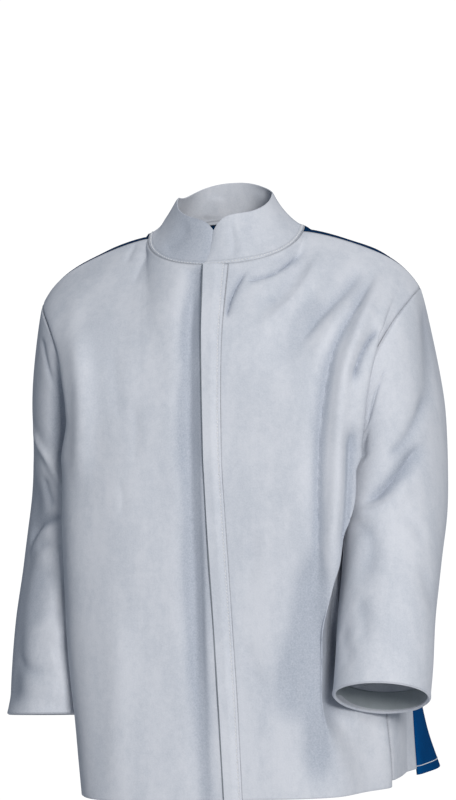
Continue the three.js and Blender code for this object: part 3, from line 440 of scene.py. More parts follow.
# Shares of the panels' and sleeves' parameters, as the frame's drawing divides them
YOKE_START = 12 / 21
NECK_SHARE = 5 / 11
ARMPIT_TURN = 0.39
SIDE_BLEND = 4
TOP_BLEND = 2.5
SLEEVE_BLEND = 0.3
HEM_PRESS = 0.45
FRONT_FLARE = 0.25
GROOVE_SHARE = 0.95
PRESS_SHARE = 1.5
PRESS_SOFTNESS = 24
SHOULDER_FALL = ((0.68, 1.35), (0.32, 8))
CORNER_SMOOTHING = 0.8
COLLAR_FRONT_RISE = 1.4
COLLAR_LEAN = 0.74
COLLAR_LIFT = 1.22

# A sleeve keeps off its armhole by this much at the shoulder and under the arm, past the seam's blend
TOP_CLEARANCE = 0.4
UNDER_CLEARANCE = 4.4
CLEARANCE_BLEND = 0.02

# A sheet is declared with at least this share of its flat size as its area
LEAST_SHEET = 0.31

# Angles in degrees past which an edge of a mesh stays sharp
SMOOTH_ANGLE = 50
THREAD_SMOOTH_ANGLE = 80


# Settings that a user would change


class JacketSizes(PropertyGroup):
    """Sizes of the finish, in millimetres where no unit is shown"""

    stitch_pitch: FloatProperty(
        name="Stitch pitch", description="Distance from stitch to stitch in millimetres",
        default=4.2, min=1.0,
    )
    thread: FloatProperty(
        name="Thread", description="Thickness of the sewing thread in millimetres",
        default=1.2, min=0.1,
    )
    seam_depth: FloatProperty(
        name="Seam depth", description="How far the leather dips into its seams in millimetres",
        default=1.3, min=0.0,
    )
    fold_strength: FloatProperty(
        name="Fold strength", description="Strength of the creases",
        default=1.0, min=0.0, max=2.0,
    )
    ripple: FloatProperty(
        name="Ripple", description="Height of the leather's slow waves in millimetres",
        default=0.6, min=0.0,
    )
    detail: IntProperty(
        name="Detail", description="Grid steps for each 100 mm of leather",
        default=32, min=8, max=48,
    )


class JacketColours(PropertyGroup):
    """Colours of the materials"""

    # Both tones are the suede's own, mixed by cloud and brush marks; high places keep the light one because
    # only the low places of folds get painted shade, a darker copy of the dark tone
    suede_light: FloatVectorProperty(
        name="Suede light", description="Brushed high places of the suede", subtype="COLOR", size=3,
        default=(0.655, 0.67, 0.715), min=0.0, max=1.0,
    )
    suede_dark: FloatVectorProperty(
        name="Suede dark", description="Low and shaded places of the suede", subtype="COLOR", size=3,
        default=(0.465, 0.5, 0.56), min=0.0, max=1.0,
    )
    suede_inside: FloatVectorProperty(
        name="Suede inside", description="Inner side of the hide", subtype="COLOR", size=3,
        default=(0.36, 0.4, 0.42), min=0.0, max=1.0,
    )
    cotton: FloatVectorProperty(
        name="Cotton", description="Cotton of the back", subtype="COLOR", size=3,
        default=(0.0, 0.058, 0.2), min=0.0, max=1.0,
    )
    leather_thread: FloatVectorProperty(
        name="Leather thread", description="Thread in the leather", subtype="COLOR", size=3,
        default=(0.83, 0.83, 0.83), min=0.0, max=1.0,
    )
    hem_thread: FloatVectorProperty(
        name="Hem thread", description="Thread in the cotton's hem", subtype="COLOR", size=3,
        default=(0.85, 0.88, 0.9), min=0.0, max=1.0,
    )


def sizes():
    """The sizes of the current scene."""
    return bpy.context.scene.jacket_sizes


def colours():
    """The colours of the current scene."""
    return bpy.context.scene.jacket_colours


# Curves and blends


def mix(a, b, t):
    """The value at the share t of the way from a to b."""
    return a + (b - a) * t


def ease(t):
    """Smooth step of t from 0 to 1."""
    t = np.clip(t, 0, 1)
    return t * t * (3 - 2 * t)


def fade_in(value, start, blend):
    """0 up to a start and 1 from a blend past it."""
    return ease((value - start) / blend)


def fade_out(value, end, blend):
    """1 up to a blend before an end and 0 from the end on."""
    return ease((end - value) / blend)


def bell(distance, width):
    """1 at no distance, falling off on both sides as the exponential of the square."""
    return np.exp(-((distance / width) ** 2))


def smooth_value(keys, values, at):
    """A cubic through the rows of a table at a key. Its slope at a row looks to the rows on both sides,
    and the keys may differ from point to point, down their first axis."""
    at = np.asarray(at, float)
    keys = np.asarray(keys, float)
    rows = len(keys)
    whole = (rows,) + at.shape
    keys = np.broadcast_to(keys.reshape(keys.shape + (1,) * (len(whole) - keys.ndim)), whole)
    values = np.broadcast_to(np.reshape(values, (rows,) + (1,) * at.ndim), whole)
    row = np.clip((keys[1:-1] < at).sum(0), 0, rows - 2) if rows > 2 else np.zeros(at.shape, int)

    def pick(column, index):
        return np.take_along_axis(column, np.clip(index, 0, rows - 1)[None], 0)[0]

    k0, k1 = pick(keys, row), pick(keys, row + 1)
    v0, v1 = pick(values, row), pick(values, row + 1)
    span = k1 - k0
    t = np.clip((at - k0) / span, 0, 1)
    slope0 = span * (v1 - pick(values, row - 1)) / np.maximum(k1 - pick(keys, row - 1), 1e-6)
    slope1 = span * (pick(values, row + 2) - v0) / np.maximum(pick(keys, row + 2) - k0, 1e-6)
    t2, t3 = t * t, t * t * t
    from_start = (2 * t3 - 3 * t2 + 1) * v0 + (t3 - 2 * t2 + t) * slope0
    return from_start + (3 * t2 - 2 * t3) * v1 + (t3 - t2) * slope1


def curve_point(points, share):
    """A smooth curve through a few points at a share of its steps."""
    keys = np.linspace(0, 1, len(points))
    return stack(*(smooth_value(keys, np.array(points)[:, axis], share) for axis in range(3)))


def stack(x, y, z):
    """Arrays of x, y and z as one array of points."""
    return np.stack(np.broadcast_arrays(x, y, z), -1).astype(float)


def soft_min(a, b, softness):
    """The lesser of two values with a rounded corner between them."""
    h = np.maximum(softness - np.abs(a - b), 0) / softness
    return np.minimum(a, b) - h * h * softness / 4


def unit(vectors):
    """Vectors at length 1."""
    return vectors / np.maximum(np.linalg.norm(vectors, axis=-1, keepdims=True), 1e-12)


def grid_normals(points, closed):
    """Normals of a grid surface: the cross product of its slopes along the columns and the rows. A
    closed grid joins its last column to the first."""
    if closed:
        across = np.roll(points, -1, 1) - np.roll(points, 1, 1)
    else:
        across = np.gradient(points, axis=1)
    return unit(np.cross(across, np.gradient(points, axis=0)))


def ripple(points, length, seed):
    """Slow waves of height about 1: the sum of sines that run in fixed random directions, each about the
    given length from crest to crest, over the root of half their number."""
    random = np.random.default_rng(seed)
    directions = unit(random.normal(size=(WAVES, 3)))
    pitch = 2 * np.pi / (length * random.uniform(0.7, 1.5, WAVES))
    phase = random.uniform(0, 2 * np.pi, WAVES)
    return np.sin(points @ (directions * pitch[:, None]).T + phase).sum(-1) / math.sqrt(WAVES / 2)


def hanging_ripple(points, seed):
    """The leather's own waves: slow ones all ways, and narrower ones that hang down."""
    hanging = ripple(points * HANGING_STRETCH, HANGING_WAVE_LENGTH, seed + HANGING_SEED)
    return ripple(points, WAVE_LENGTH, seed) + HANGING_WAVE_HEIGHT * hanging


def fold_height(folds, across, down, cross_size, down_size, wrap=None):
    """Height of all folds of a list at each place. Each fold runs along a smooth curve through its
    places. The height falls off with the distance from the curve, by a power between 1 and 2, and
    towards the curve's two ends. wrap is the length round a closed tube."""
    across, down = np.broadcast_arrays(across, down)
    total = np.zeros(np.shape(across))
    for path, width, height, sharp, lean in folds:
        places = np.array(path) * (cross_size, down_size)
        keys = np.linspace(0, 1, len(places))
        steps = FOLD_STEPS * (len(places) - 1)
        t = np.linspace(0, 1, steps + 1)
        px, pz = (smooth_value(keys, places[:, axis], t) for axis in (0, 1))
        nearest = np.full(np.shape(across), np.inf)
        side = np.zeros(np.shape(across))
        share = np.zeros(np.shape(across))
        for s in range(steps):
            dx, dz = px[s + 1] - px[s], pz[s + 1] - pz[s]
            qx, qz = across - px[s], down - pz[s]
            if wrap:
                qx = (qx + wrap / 2) % wrap - wrap / 2
            along = np.clip((qx * dx + qz * dz) / (dx * dx + dz * dz), 0, 1)
            ex, ez = qx - dx * along, qz - dz * along
            distance = np.hypot(ex, ez)
            closer = distance < nearest
            nearest = np.where(closer, distance, nearest)
            side = np.where(closer, np.sign(dx * ez - dz * ex), side)
            share = np.where(closer, (s + along) / steps, share)
        fade = fade_in(share, 0, FOLD_END) * fade_out(share, 1, FOLD_END)
        reach = width * (1 + lean * side)
        total += height * fade * np.exp(-((nearest / reach) ** sharp))
    return total


# Shapes of the frame, in the formulas of its drawing


def sleeve_rings(side):
    """The sleeve's ring table as real sizes; side is 1 for the wearer's left and -1 for the right."""
    rows = LEFT_RINGS if side > 0 else RIGHT_RINGS
    drop = LEFT_SLEEVE_DROP if side > 0 else RIGHT_SLEEVE_DROP
    reach = LEFT_REACH if side > 0 else RIGHT_REACH
    return {
        "key": np.linspace(0, 1, len(rows["inner"])),
        "inner": rows["inner"] * SHOULDER_HALF_WIDTH,
        "inner_z": -ARMPIT_DROP - rows["inner_fall"] * (drop + SHOULDER_DROP - ARMPIT_DROP),
        "outer": rows["outer"] * SHOULDER_HALF_WIDTH,
        "outer_z": -SHOULDER_DROP - rows["outer_fall"] * drop,
        "y": -rows["forward"] * reach,
        "depth": rows["depth"] * SLEEVE_HALF_DEPTH,
        "tilt": np.radians(rows["tilt"]),
        "skew": rows["skew"],
    }


RINGS = {1: sleeve_rings(1), -1: sleeve_rings(-1)}


def arm_at(side, share, z):
    """The sleeve ring that passes a height beside the body, at a place forward or back in the ring."""
    rings = RINGS[side]
    bow = (1 - np.sqrt(1 - np.minimum(share * share, 1))) / 2
    shape = (-1,) + (1,) * np.ndim(bow)
    column = {name: values.reshape(shape) for name, values in rings.items()}
    lean = share * column["depth"] * np.sin(column["tilt"])
    keys = -mix(column["inner_z"], column["outer_z"], bow) + lean
    read = {name: smooth_value(keys, rings[name], -z) for name in ("inner", "outer", "y", "depth", "skew")}
    read["half"] = (read["outer"] - read["inner"]) / 2
    return read


def pressed_in(side, x, y, z):
    """Distance out after the arm has pressed a round groove into the side of the body: the groove is a
    bell round the arm's place, and the press fades below the cuff."""
    first = arm_at(side, np.zeros(np.shape(z)), z)
    arm = arm_at(side, np.clip((y - first["y"]) / first["depth"], -1, 1), z)
    clearance = mix(ARMPIT_CLEARANCE, ARM_CLEARANCE, np.clip((-z - ARMPIT_DROP) / SIDE_HEM_STEP / 2, 0, 1))
    share = (y - arm["y"]) / (arm["depth"] + clearance)
    groove = (arm["half"] + clearance) * np.exp(-((share / GROOVE_SHARE) ** 4))
    limit = arm["inner"] + arm["half"] - groove + arm["skew"] * (y - arm["y"])
    cuff = RINGS[side]["inner_z"][-1]
    press = mix(HEM_PRESS, 1, ease((z + BODY_LENGTH) / (cuff + BODY_LENGTH)))
    return mix(x, soft_min(x, limit, PRESS_SOFTNESS), press * np.exp(-((share / PRESS_SHARE) ** 6)))


def body_point(side, angle, z):
    """The body below the armpit: a superellipse at each height, flared towards the back, turned a
    little and pressed in by the arm. angle 0 is the middle of the front."""
    angle, z = np.broadcast_arrays(np.asarray(angle, float), np.asarray(z, float))
    read = {name: smooth_value(-BODY["drop"], BODY[name], z / BODY_LENGTH) for name in BODY}
    width = read["width"] * CHEST_HALF_WIDTH
    front = np.cos(angle) > 0
    depth = np.where(front, read["front"] * FRONT_DEPTH, read["back"] * BACK_DEPTH)
    square = read["square"]
    sine, cosine = np.abs(np.sin(angle)), np.abs(np.cos(angle))
    radius = ((sine / width) ** square + (cosine / depth) ** square) ** (-1 / square)
    flat_y = -radius * np.cos(angle)
    flare = read["left" if side > 0 else "right"] * flat_y / BACK_DEPTH * np.where(front, FRONT_FLARE, 1)
    flat_x = radius * np.sin(angle) * (1 + flare)
    turn = np.radians(read["turn"]) * side
    x = flat_x * np.cos(turn) - flat_y * np.sin(turn)
    y = flat_x * np.sin(turn) + flat_y * np.cos(turn)
    return stack(side * pressed_in(side, x, y, z), y, z)


def neck_point(angle):
    """The neck seam: a superellipse that drops towards the front and rises towards the back."""
    angle = np.asarray(angle, float)
    front = np.cos(angle) > 0
    depth = np.where(front, NECK_FRONT_DEPTH, NECK_BACK_DEPTH)
    sine, cosine = np.abs(np.sin(angle)), np.abs(np.cos(angle))
    power = NECK_SQUARENESS
    radius = ((sine / NECK_HALF_WIDTH) ** power + (cosine / depth) ** power) ** (-1 / power)
    y = -radius * np.cos(angle)
    drop = NECK_FRONT_DROP * y / NECK_FRONT_DEPTH
    rise = NECK_BACK_RISE * (y / NECK_BACK_DEPTH) ** 2
    return stack(radius * np.sin(angle), y, np.where(front, drop, rise))


NECK_SIDE_ANGLE = math.pi / 2 - math.asin(SHOULDER_FORWARD / NECK_FRONT_DEPTH)


def top_edge(side, front, share):
    """Top edge of a front or back: the neck seam, then the shoulder seam out to its tip."""
    share = np.asarray(share, float)
    t = share / NECK_SHARE
    neck = neck_point(NECK_SIDE_ANGLE * t if front else math.pi - (math.pi - NECK_SIDE_ANGLE) * t)
    corner = neck_point(NECK_SIDE_ANGLE)
    t = np.clip((share - NECK_SHARE) / (1 - NECK_SHARE), 0, None)
    fall = sum(part * t**power for part, power in SHOULDER_FALL)
    shoulder = stack(
        mix(corner[0], SHOULDER_HALF_WIDTH, t), mix(corner[1], 0, t), mix(corner[2], -SHOULDER_DROP, fall)
    )
    edge = np.where((share <= NECK_SHARE)[..., None], neck, shoulder)
    return edge * np.array([side, 1, 1])


def soft_top_edge(side, front, share, w):
    """The top edge as it is felt lower down: a mean of places near by, where its corner is smoothed."""
    reach = CORNER_SMOOTHING * (1 - w) * np.minimum(share, 1 - share)
    return sum(
        top_edge(side, front, share + reach * place / 2) * weight / 9
        for place, weight in ((-2, 1), (-1, 2), (0, 3), (1, 2), (2, 1))
    )


def seam_angle(front, rise=1.0):
    """Body angle of the front or back side seam at a share of the way from the hem to the armpit."""
    if front:
        return np.radians(np.full(np.shape(rise), float(FRONT_SEAM_ANGLE)))
    return np.radians(mix(BACK_SEAM_HEM_ANGLE, BACK_SEAM_ANGLE, ease(rise)))


def armhole_edge(side, front, share):
    """Armhole edge of a front or back, from the armpit (share 0) to the shoulder tip (share 1)."""
    rows = ARMHOLE_FRONT if front else ARMHOLE_BACK
    out, depth = side * rows["out"] * SHOULDER_HALF_WIDTH, rows["depth"] * SLEEVE_HALF_DEPTH
    middle = stack(out, depth, -rows["drop"] * ARMPIT_DROP)
    armpit = body_point(side, seam_angle(front), -ARMPIT_DROP)
    below = [middle[0][0], middle[0][1], 2 * armpit[2] - middle[0][2]]
    points = np.array([below, armpit, *middle, top_edge(side, front, 1)])
    return curve_point(points, mix(1 / (len(points) - 1), 1, share))


def middle_line(front, share):
    """Middle line of the front or back above the armpit."""
    rows = FRONT_MIDDLE if front else BACK_MIDDLE
    depth = smooth_value(rows["rise"], rows["depth"], share)
    top = -NECK_FRONT_DROP if front else NECK_BACK_RISE
    return stack(0, depth * (-FRONT_DEPTH if front else BACK_DEPTH), mix(-ARMPIT_DROP, top, share))


def plain_panel(side, front, u, v):
    """Shell of a front or back without folds. Below the armpit it is the body's section, and above it
    a blend of the section, the middle line, the armhole's edge and the top edge."""
    u, v = np.broadcast_arrays(np.asarray(u, float), np.asarray(v, float))
    rise = np.minimum(v / YOKE_START, 1)
    angle = mix(0 if front else math.pi, seam_angle(front, rise), u)
    below = body_point(side, angle, mix(-BODY_LENGTH, -ARMPIT_DROP, rise))
    w = np.clip((v - YOKE_START) / (1 - YOKE_START), 0, 1)
    hu = (np.abs(u) ** SIDE_BLEND)[..., None]
    hw = (w**TOP_BLEND)[..., None]
    low = body_point(side, angle, -ARMPIT_DROP)
    low_middle = body_point(side, 0 if front else math.pi, -ARMPIT_DROP)
    low_side = body_point(side, seam_angle(front), -ARMPIT_DROP)
    top_middle, top_side = top_edge(side, front, 0), top_edge(side, front, 1)
    above = mix(low, soft_top_edge(side, front, u, w), hw)
    above = above + mix(middle_line(front, w), armhole_edge(side, front, w), hu)
    above = above - mix(mix(low_middle, top_middle, hw), mix(low_side, top_side, hw), hu)
    return np.where((v <= YOKE_START)[..., None], below, above)


def armhole_loop(side, turn):
    """The armhole: from the shoulder tip down the front, along the armpit and up the back."""
    turn = np.asarray(turn, float)
    front = armhole_edge(side, True, np.clip(1 - turn / ARMPIT_TURN, 0, 1))
    back = armhole_edge(side, False, np.clip((turn - 1 + ARMPIT_TURN) / ARMPIT_TURN, 0, 1))
    share = np.clip((turn - ARMPIT_TURN) / (1 - 2 * ARMPIT_TURN), 0, 1)
    under = body_point(side, mix(seam_angle(True), seam_angle(False), share), -ARMPIT_DROP)
    rest = np.where((turn >= 1 - ARMPIT_TURN)[..., None], back, under)
    return np.where((turn <= ARMPIT_TURN)[..., None], front, rest)


def plain_sleeve(side, turn, along, clearance):
    """A sleeve without folds. Each ring is an ellipse through its inner and outer side, leaned and
    skewed, and the first part blends into it from the armhole, moved out by the clearance."""
    turn, along = np.broadcast_arrays(np.asarray(turn, float), np.asarray(along, float))
    rings = RINGS[side]
    read = {name: smooth_value(rings["key"], rings[name], along) for name in rings}
    cosine, sine = np.cos(2 * np.pi * turn), np.sin(2 * np.pi * turn)
    x = mix(read["inner"], read["outer"], (1 + cosine) / 2)
    z = mix(read["inner_z"], read["outer_z"], (1 + cosine) / 2)
    ring = stack(
        side * (x - read["skew"] * read["depth"] * sine),
        read["y"] - read["depth"] * sine * np.cos(read["tilt"]),
        z + read["depth"] * sine * np.sin(read["tilt"]),
    )
    fall = (ARMPIT_DROP - SHOULDER_DROP) / math.hypot(ARMPIT_DROP - SHOULDER_DROP, SLEEVE_HALF_DEPTH)
    moved = stack(side * clearance * fall, 0, -clearance * math.sqrt(1 - fall * fall))
    return mix(armhole_loop(side, turn) + moved, ring, fade_in(along, 0, SLEEVE_BLEND)[..., None])


def collar_point(share, height):
    """The collar band: a cone from the neck seam to its top, share 0 at the under end and 1 at the over
    end. Its top is highest beside the front, and both ends dip a little and have a rounded top corner."""
    under, over = COLLAR_UNDER_END / NECK_FRONT_DEPTH, COLLAR_OVER_END / NECK_FRONT_DEPTH
    x, y, z = np.moveaxis(neck_point(mix(under, -2 * np.pi - over, share)), -1, 0)
    front = y < 0
    facing = -y / np.where(front, NECK_FRONT_DEPTH, NECK_BACK_DEPTH)
    top_depth = np.where(front, COLLAR_TOP_FRONT_DEPTH, COLLAR_TOP_BACK_DEPTH)
    front_height = mix(COLLAR_UNDER_HEIGHT, COLLAR_OVER_HEIGHT, share)
    front_rise = mix(COLLAR_SIDE_HEIGHT, front_height, np.abs(facing) ** COLLAR_FRONT_RISE)
    rise = np.where(front, front_rise, mix(COLLAR_SIDE_HEIGHT, COLLAR_BACK_HEIGHT, facing**2))
    from_end = np.minimum(share, 1 - share) * COLLAR_LENGTH
    short = np.clip(1 - from_end / COLLAR_CORNER, 0, 1)
    corner = COLLAR_CORNER * (1 - np.sqrt(1 - short * short))
    corner = corner + COLLAR_END_DIP * ease(1 - from_end / COLLAR_DIP_LENGTH)
    lean = height**COLLAR_LEAN
    return stack(
        mix(x, x / NECK_HALF_WIDTH * COLLAR_TOP_HALF_WIDTH, lean),
        mix(y, -facing * top_depth, lean),
        z + (rise - corner) * height**COLLAR_LIFT,
    )


# Grids and their edges


def edge_steps(start, end, count, length, fine_start=False, fine_end=False):
    """Steps from start to end, which is a stretch of the given length in millimetres, with finer ones
    beside an edge that is rolled or dips into a seam."""
    fine = EDGE_PLACES / length
    low = fine if fine_start else np.array([0.0])
    high = 1 - (fine[::-1] if fine_end else np.array([0.0]))
    inner = np.linspace(low[-1], high[0], max(count, 2) + 1)[1:-1]
    return mix(start, end, np.concatenate([low, inner, high]))


def distance_from(points, axis, end):
    """Length along the rows (axis 1) or columns (axis 0) of a grid from its first or last edge."""
    lengths = np.linalg.norm(np.diff(points, axis=axis), axis=-1)
    if end:
        lengths = np.flip(lengths, axis)
    pad = [(1, 0) if k == axis else (0, 0) for k in range(2)]
    total = np.pad(np.cumsum(lengths, axis=axis), pad)
    return np.flip(total, axis) if end else total


def seam_dip(distance, depth):
    """How far a panel dips at a distance from its seam: a bell of the given depth."""
    return -depth * bell(distance, DIP_WIDTH)


def count_for(length, finer=1.0):
    """Grid steps for a length in millimetres."""
    return max(2, int(round(length * finer * sizes().detail / 100)))


# Meshes


def grid_quads(rows, columns, first, closed, flip):
    """Quads of a grid whose points lie row by row from the index first."""
    row = np.arange(rows - 1)[:, None]
    column = np.arange(columns if closed else columns - 1)[None]
    beside = (column + 1) % columns
    a, b = row * columns + column, row * columns + beside
    c, d = (row + 1) * columns + beside, (row + 1) * columns + column
    quads = np.stack([a, d, c, b] if flip else [a, b, c, d], -1).reshape(-1, 4)
    return quads + first


def band_quads(low, high, closed):
    """Quads between two equally long lines of indices."""
    if closed:
        low, high = np.append(low, low[0]), np.append(high, high[0])
    return np.stack([low[:-1], low[1:], high[1:], high[:-1]], -1)


def wall(points, normals, closed, faces):
    """A closed wall about a grid surface. Its outer and inner faces lie at two offsets along the
    normals, and each open edge gets a middle line pushed out, so that the cut edge is rounded.
    Returns vertices, quads and for each vertex the grid index that it comes from."""
    rows, columns = points.shape[:2]
    outer, inner = (np.broadcast_to(face, (rows, columns)) for face in faces)
    front = points + normals * outer[..., None]
    back = points + normals * inner[..., None]
    count = rows * columns
    index = np.arange(count).reshape(rows, columns)
    vertices = [front.reshape(-1, 3), back.reshape(-1, 3)]
    source = [index.ravel(), index.ravel()]
    quads = [grid_quads(rows, columns, 0, closed, False), grid_quads(rows, columns, count, closed, True)]
    if closed:
        edges = [(index[0], index[1], 1), (index[-1], index[-2], -1)]
    else:
        loop = np.concatenate([index[0, :-1], index[:-1, -1], index[-1, :0:-1], index[:0:-1, 0]])
        inward = np.concatenate([index[1, :-1], index[:-1, -2], index[-2, :0:-1], index[:0:-1, 1]])
        corners = [0, columns - 1, columns + rows - 2, 2 * columns + rows - 3]
        inward[corners] = [index[1, 1], index[1, -2], index[-2, -2], index[-2, 1]]
        edges = [(loop, inward, 1)]
    first = 2 * count
    flat = points.reshape(-1, 3)
    middle = (front + back).reshape(-1, 3) / 2
    half = np.abs(outer - inner).ravel() / 2
    for line, inside, sense in edges:
        away = unit(flat[line] - flat[inside]) * (half[line] * 2 * EDGE_ROUNDING)[:, None]
        vertices.append(middle[line] + away)
        source.append(line)
        rim = first + np.arange(len(line))
        pair = [band_quads(rim, line, True), band_quads(line + count, rim, True)]
        quads += [q if sense > 0 else q[:, ::-1] for q in pair]
        first += len(line)
    return np.concatenate(vertices), np.concatenate(quads), np.concatenate(source)


def new_mesh(name, vertices, quads, maps=None, marks=None, smooth_angle=SMOOTH_ANGLE):
    """A mesh object from millimetre vertices and quads, with a UV map in metres and named marks."""
    mesh = bpy.data.meshes.new(name)
    mesh.vertices.add(len(vertices))
    mesh.vertices.foreach_set("co", (vertices * MM).astype(np.float32).ravel())
    mesh.loops.add(quads.size)
    mesh.loops.foreach_set("vertex_index", quads.astype(np.int32).ravel())
    mesh.polygons.add(len(quads))
    mesh.polygons.foreach_set("loop_start", np.arange(0, quads.size, 4, dtype=np.int32))
    mesh.update(calc_edges=True)
    if maps is not None:
        layer = mesh.uv_layers.new(name="UVMap")
        layer.uv.foreach_set("vector", (maps[quads.ravel()] * MM).astype(np.float32).ravel())
    for mark, values in (marks or {}).items():
        attribute = mesh.attributes.new(mark, "FLOAT", "POINT")
        attribute.data.foreach_set("value", np.asarray(values, np.float32))
    mesh.validate()
    mesh.shade_smooth()
    mesh.set_sharp_from_angle(angle=math.radians(smooth_angle))
    piece = bpy.data.objects.new(name, mesh)
    bpy.context.scene.collection.objects.link(piece)
    return piece


def add_panel(name, material, points, height, faces, seam=0, shade=0, closed=False, sheet=True):
    """A wall from a grid, displaced along its normals by a height, as a finished piece that stands for
    the node of its name. faces are the offsets of its outer and inner face. seam is 1 at a seam and 0
    away from it, and the height is kept as the mark fold, less the shade, a painted shade that darkens
    the nap beside the closure and at the collar's under end."""
    points = points + grid_normals(points, closed) * height[..., None]
    normals = grid_normals(points, closed)
    vertices, quads, source = wall(points, normals, closed, faces)
    across = distance_from(points, 1, False)
    down = distance_from(points, 0, False)
    maps = np.stack([across.ravel(), down.ravel()], -1)[source]
    marks = {
        "fold": (height - shade).ravel()[source],
        "seam": np.broadcast_to(seam, height.shape).ravel()[source],
    }
    piece = new_mesh(name, vertices, quads, maps, marks)
    piece.data.materials.append(material)
    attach(piece, "root")
    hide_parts(name)
    if sheet:
        sheet_of(points)
    return points, normals


def sheet_of(points):
    """Works out the flat width, length and area of a panel's grid, the area kept between a share of the flat
    size and the whole of it; nothing uses them.
    """
    wide = float(distance_from(points, 1, False)[:, -1].max()) * MM
    long = float(distance_from(points, 0, False)[-1].max()) * MM
    cells = np.cross(np.diff(points, axis=1)[:-1], np.diff(points, axis=0)[:, :-1])
    area = float(np.linalg.norm(cells, axis=-1).sum()) * MM * MM
    area = min(max(area, LEAST_SHEET * wide * long), wide * long)


def faces_of(thickness, middle=0):
    """Offsets of a wall's outer and inner face from its grid."""
    return middle + thickness / 2, middle - thickness / 2


# Panels


def panel_folds(front, points):
    """Height of a panel's folds, with those of the fronts faded out under the placket."""
    x, z = points[..., 0], points[..., 2]
    if not front:
        return fold_height(BACK_FOLDS, x, z, CHEST_HALF_WIDTH, BODY_LENGTH)
    side = 1 if x.mean() > 0 else -1
    folds = [fold for fold in FRONT_FOLDS if fold[0][0][0] * side > 0]
    height = fold_height(folds, x, z, CHEST_HALF_WIDTH, BODY_LENGTH)
    return height * sizes().fold_strength * fade_in(np.abs(x), PLACKET_FADE_START, PLACKET_FADE)


def panel_share(length):
    """The share of a panel's width that a length takes near its middle or its side."""
    return length / (CHEST_HALF_WIDTH + FRONT_DEPTH * 0.5)


def panel_rows(finer):
    """Rows of a panel from the hem to the shoulder, finer at the top seam."""
    drop = BODY_LENGTH - ARMPIT_DROP
    low = edge_steps(0, YOKE_START, count_for(drop, finer), drop)
    high = edge_steps(YOKE_START, 1, count_for(ARMPIT_DROP * BENT_SHARE, finer), ARMPIT_DROP, fine_end=True)
    return np.concatenate([low, high[1:]])


def panel_columns(start, finer, fine_start=False):
    """Columns of a panel from its middle to its side, with one at the corner of neck and shoulder."""
    count = count_for(HALF_PANEL, finer)
    neck = edge_steps(start, NECK_SHARE, count, HALF_PANEL, fine_start=fine_start)
    shoulder = edge_steps(NECK_SHARE, 1, count, HALF_PANEL, fine_end=True)
    return np.concatenate([neck, shoulder[1:]])


def panel_height(front, points, top, side_edge, seed):
    """Folds and waves of a panel, faded out at distances from its top seam and its side seams."""
    height = panel_folds(front, points) + sizes().ripple * hanging_ripple(points, seed)
    return height * (fade_in(top, 0, TOP_FADE) * fade_in(side_edge, 0, SIDE_FADE))


def hang_over(points, side_edge):
    """How far the wearer's right front hangs out over its armhole: a bell down the armhole's height that
    eases off towards the middle."""
    hang = bell(points[..., 2] + HANG_DROP, HANG_LENGTH) * fade_out(side_edge, HANG_REACH, HANG_REACH)
    return hang[..., None] * HANG_OUT


def build_front(name, side, middle_edge, suede):
    """A front: its grid runs from the middle to the side seam and from the hem to the shoulder. The
    wearer's left one (side 1) is lowered by a step under the placket's sewn edge, with a dark groove
    beside it, and the right one hangs over its armhole and gets painted shade beside the placket."""
    u = panel_columns(panel_share(middle_edge), FRONT_FINER, fine_start=side > 0)
    if side > 0:
        u = np.union1d(u, panel_share(PLACKET_WIDTH / 2 + PLACKET_GROOVE * np.linspace(-0.6, 1.8, 9)))
    else:
        u = u[::-1]
    v = panel_rows(FRONT_FINER)[:, None]
    points = plain_panel(side, True, u[None], v)
    side_edge = distance_from(points, 1, side > 0)
    if side < 0:
        points = points + hang_over(points, side_edge)
    top = distance_from(points, 0, True)
    height = panel_height(True, points, top, side_edge, FRONT_SEED)
    top_depth = sizes().seam_depth * np.where(np.abs(u) < NECK_SHARE, NECK_DIP_SHARE, 1)[None]
    dip = seam_dip(side_edge, sizes().seam_depth) + seam_dip(top, TOP_DIP) * top_depth
    seam = np.exp(-np.minimum(side_edge, top) / MARK_WIDTH)
    if side > 0:
        past = (u / panel_share(1) - PLACKET_WIDTH / 2)[None]
        dip = dip - PLACKET_REBATE * fade_out(past, PLACKET_GROOVE, PLACKET_GROOVE)
        seam = np.maximum(seam, bell(past, PLACKET_GROOVE))
        shade = 0
    else:
        # Painted shade: a band of the nap beside the placket's free edge is darkened through the mark fold
        shade = CLOSURE_SHADE * bell(-points[..., 0] - PLACKET_WIDTH / 2, CLOSURE_SHADE_WIDTH)
    add_panel(name, suede, points, height + dip, faces_of(LEATHER), seam, shade)


def build_back(cotton):
    """The back: both halves in one grid, with a roll behind each shoulder seam."""
    half = panel_columns(0, BACK_FINER)
    u = np.concatenate([half[:0:-1], -half])
    v = panel_rows(BACK_FINER)[:, None]
    left = plain_panel(1, False, np.abs(u)[None], v)
    right = plain_panel(-1, False, np.abs(u)[None], v)
    points = np.where((u >= 0)[None, :, None], left, right)
    top = distance_from(points, 0, True)
    side_edge = np.minimum(distance_from(points, 1, False), distance_from(points, 1, True))
    height = panel_height(False, points, top, side_edge, BACK_SEED)
    out = np.abs(u)[None]
    roll = mix(ROLL_TIP_HEIGHT, ROLL_NECK_HEIGHT, fade_out(out, *ROLL_CHANGE))
    roll = roll * fade_in(out, *ROLL_START) * fade_out(out, *ROLL_END)
    height = height + roll * bell(top - ROLL_DROP, ROLL_WIDTH)
    dip = seam_dip(side_edge, sizes().seam_depth) + seam_dip(top, sizes().seam_depth)
    # The seam mark darkens the cotton: a dark line at the side seams, and painted shade along the top seam
    # and its roll
    seam = np.maximum(np.exp(-side_edge / SIDE_MARK_WIDTH), fade_out(top, *ROLL_PAINTED_SHADE))
    return add_panel("back_panel", cotton, points, height + dip, faces_of(COTTON), seam)


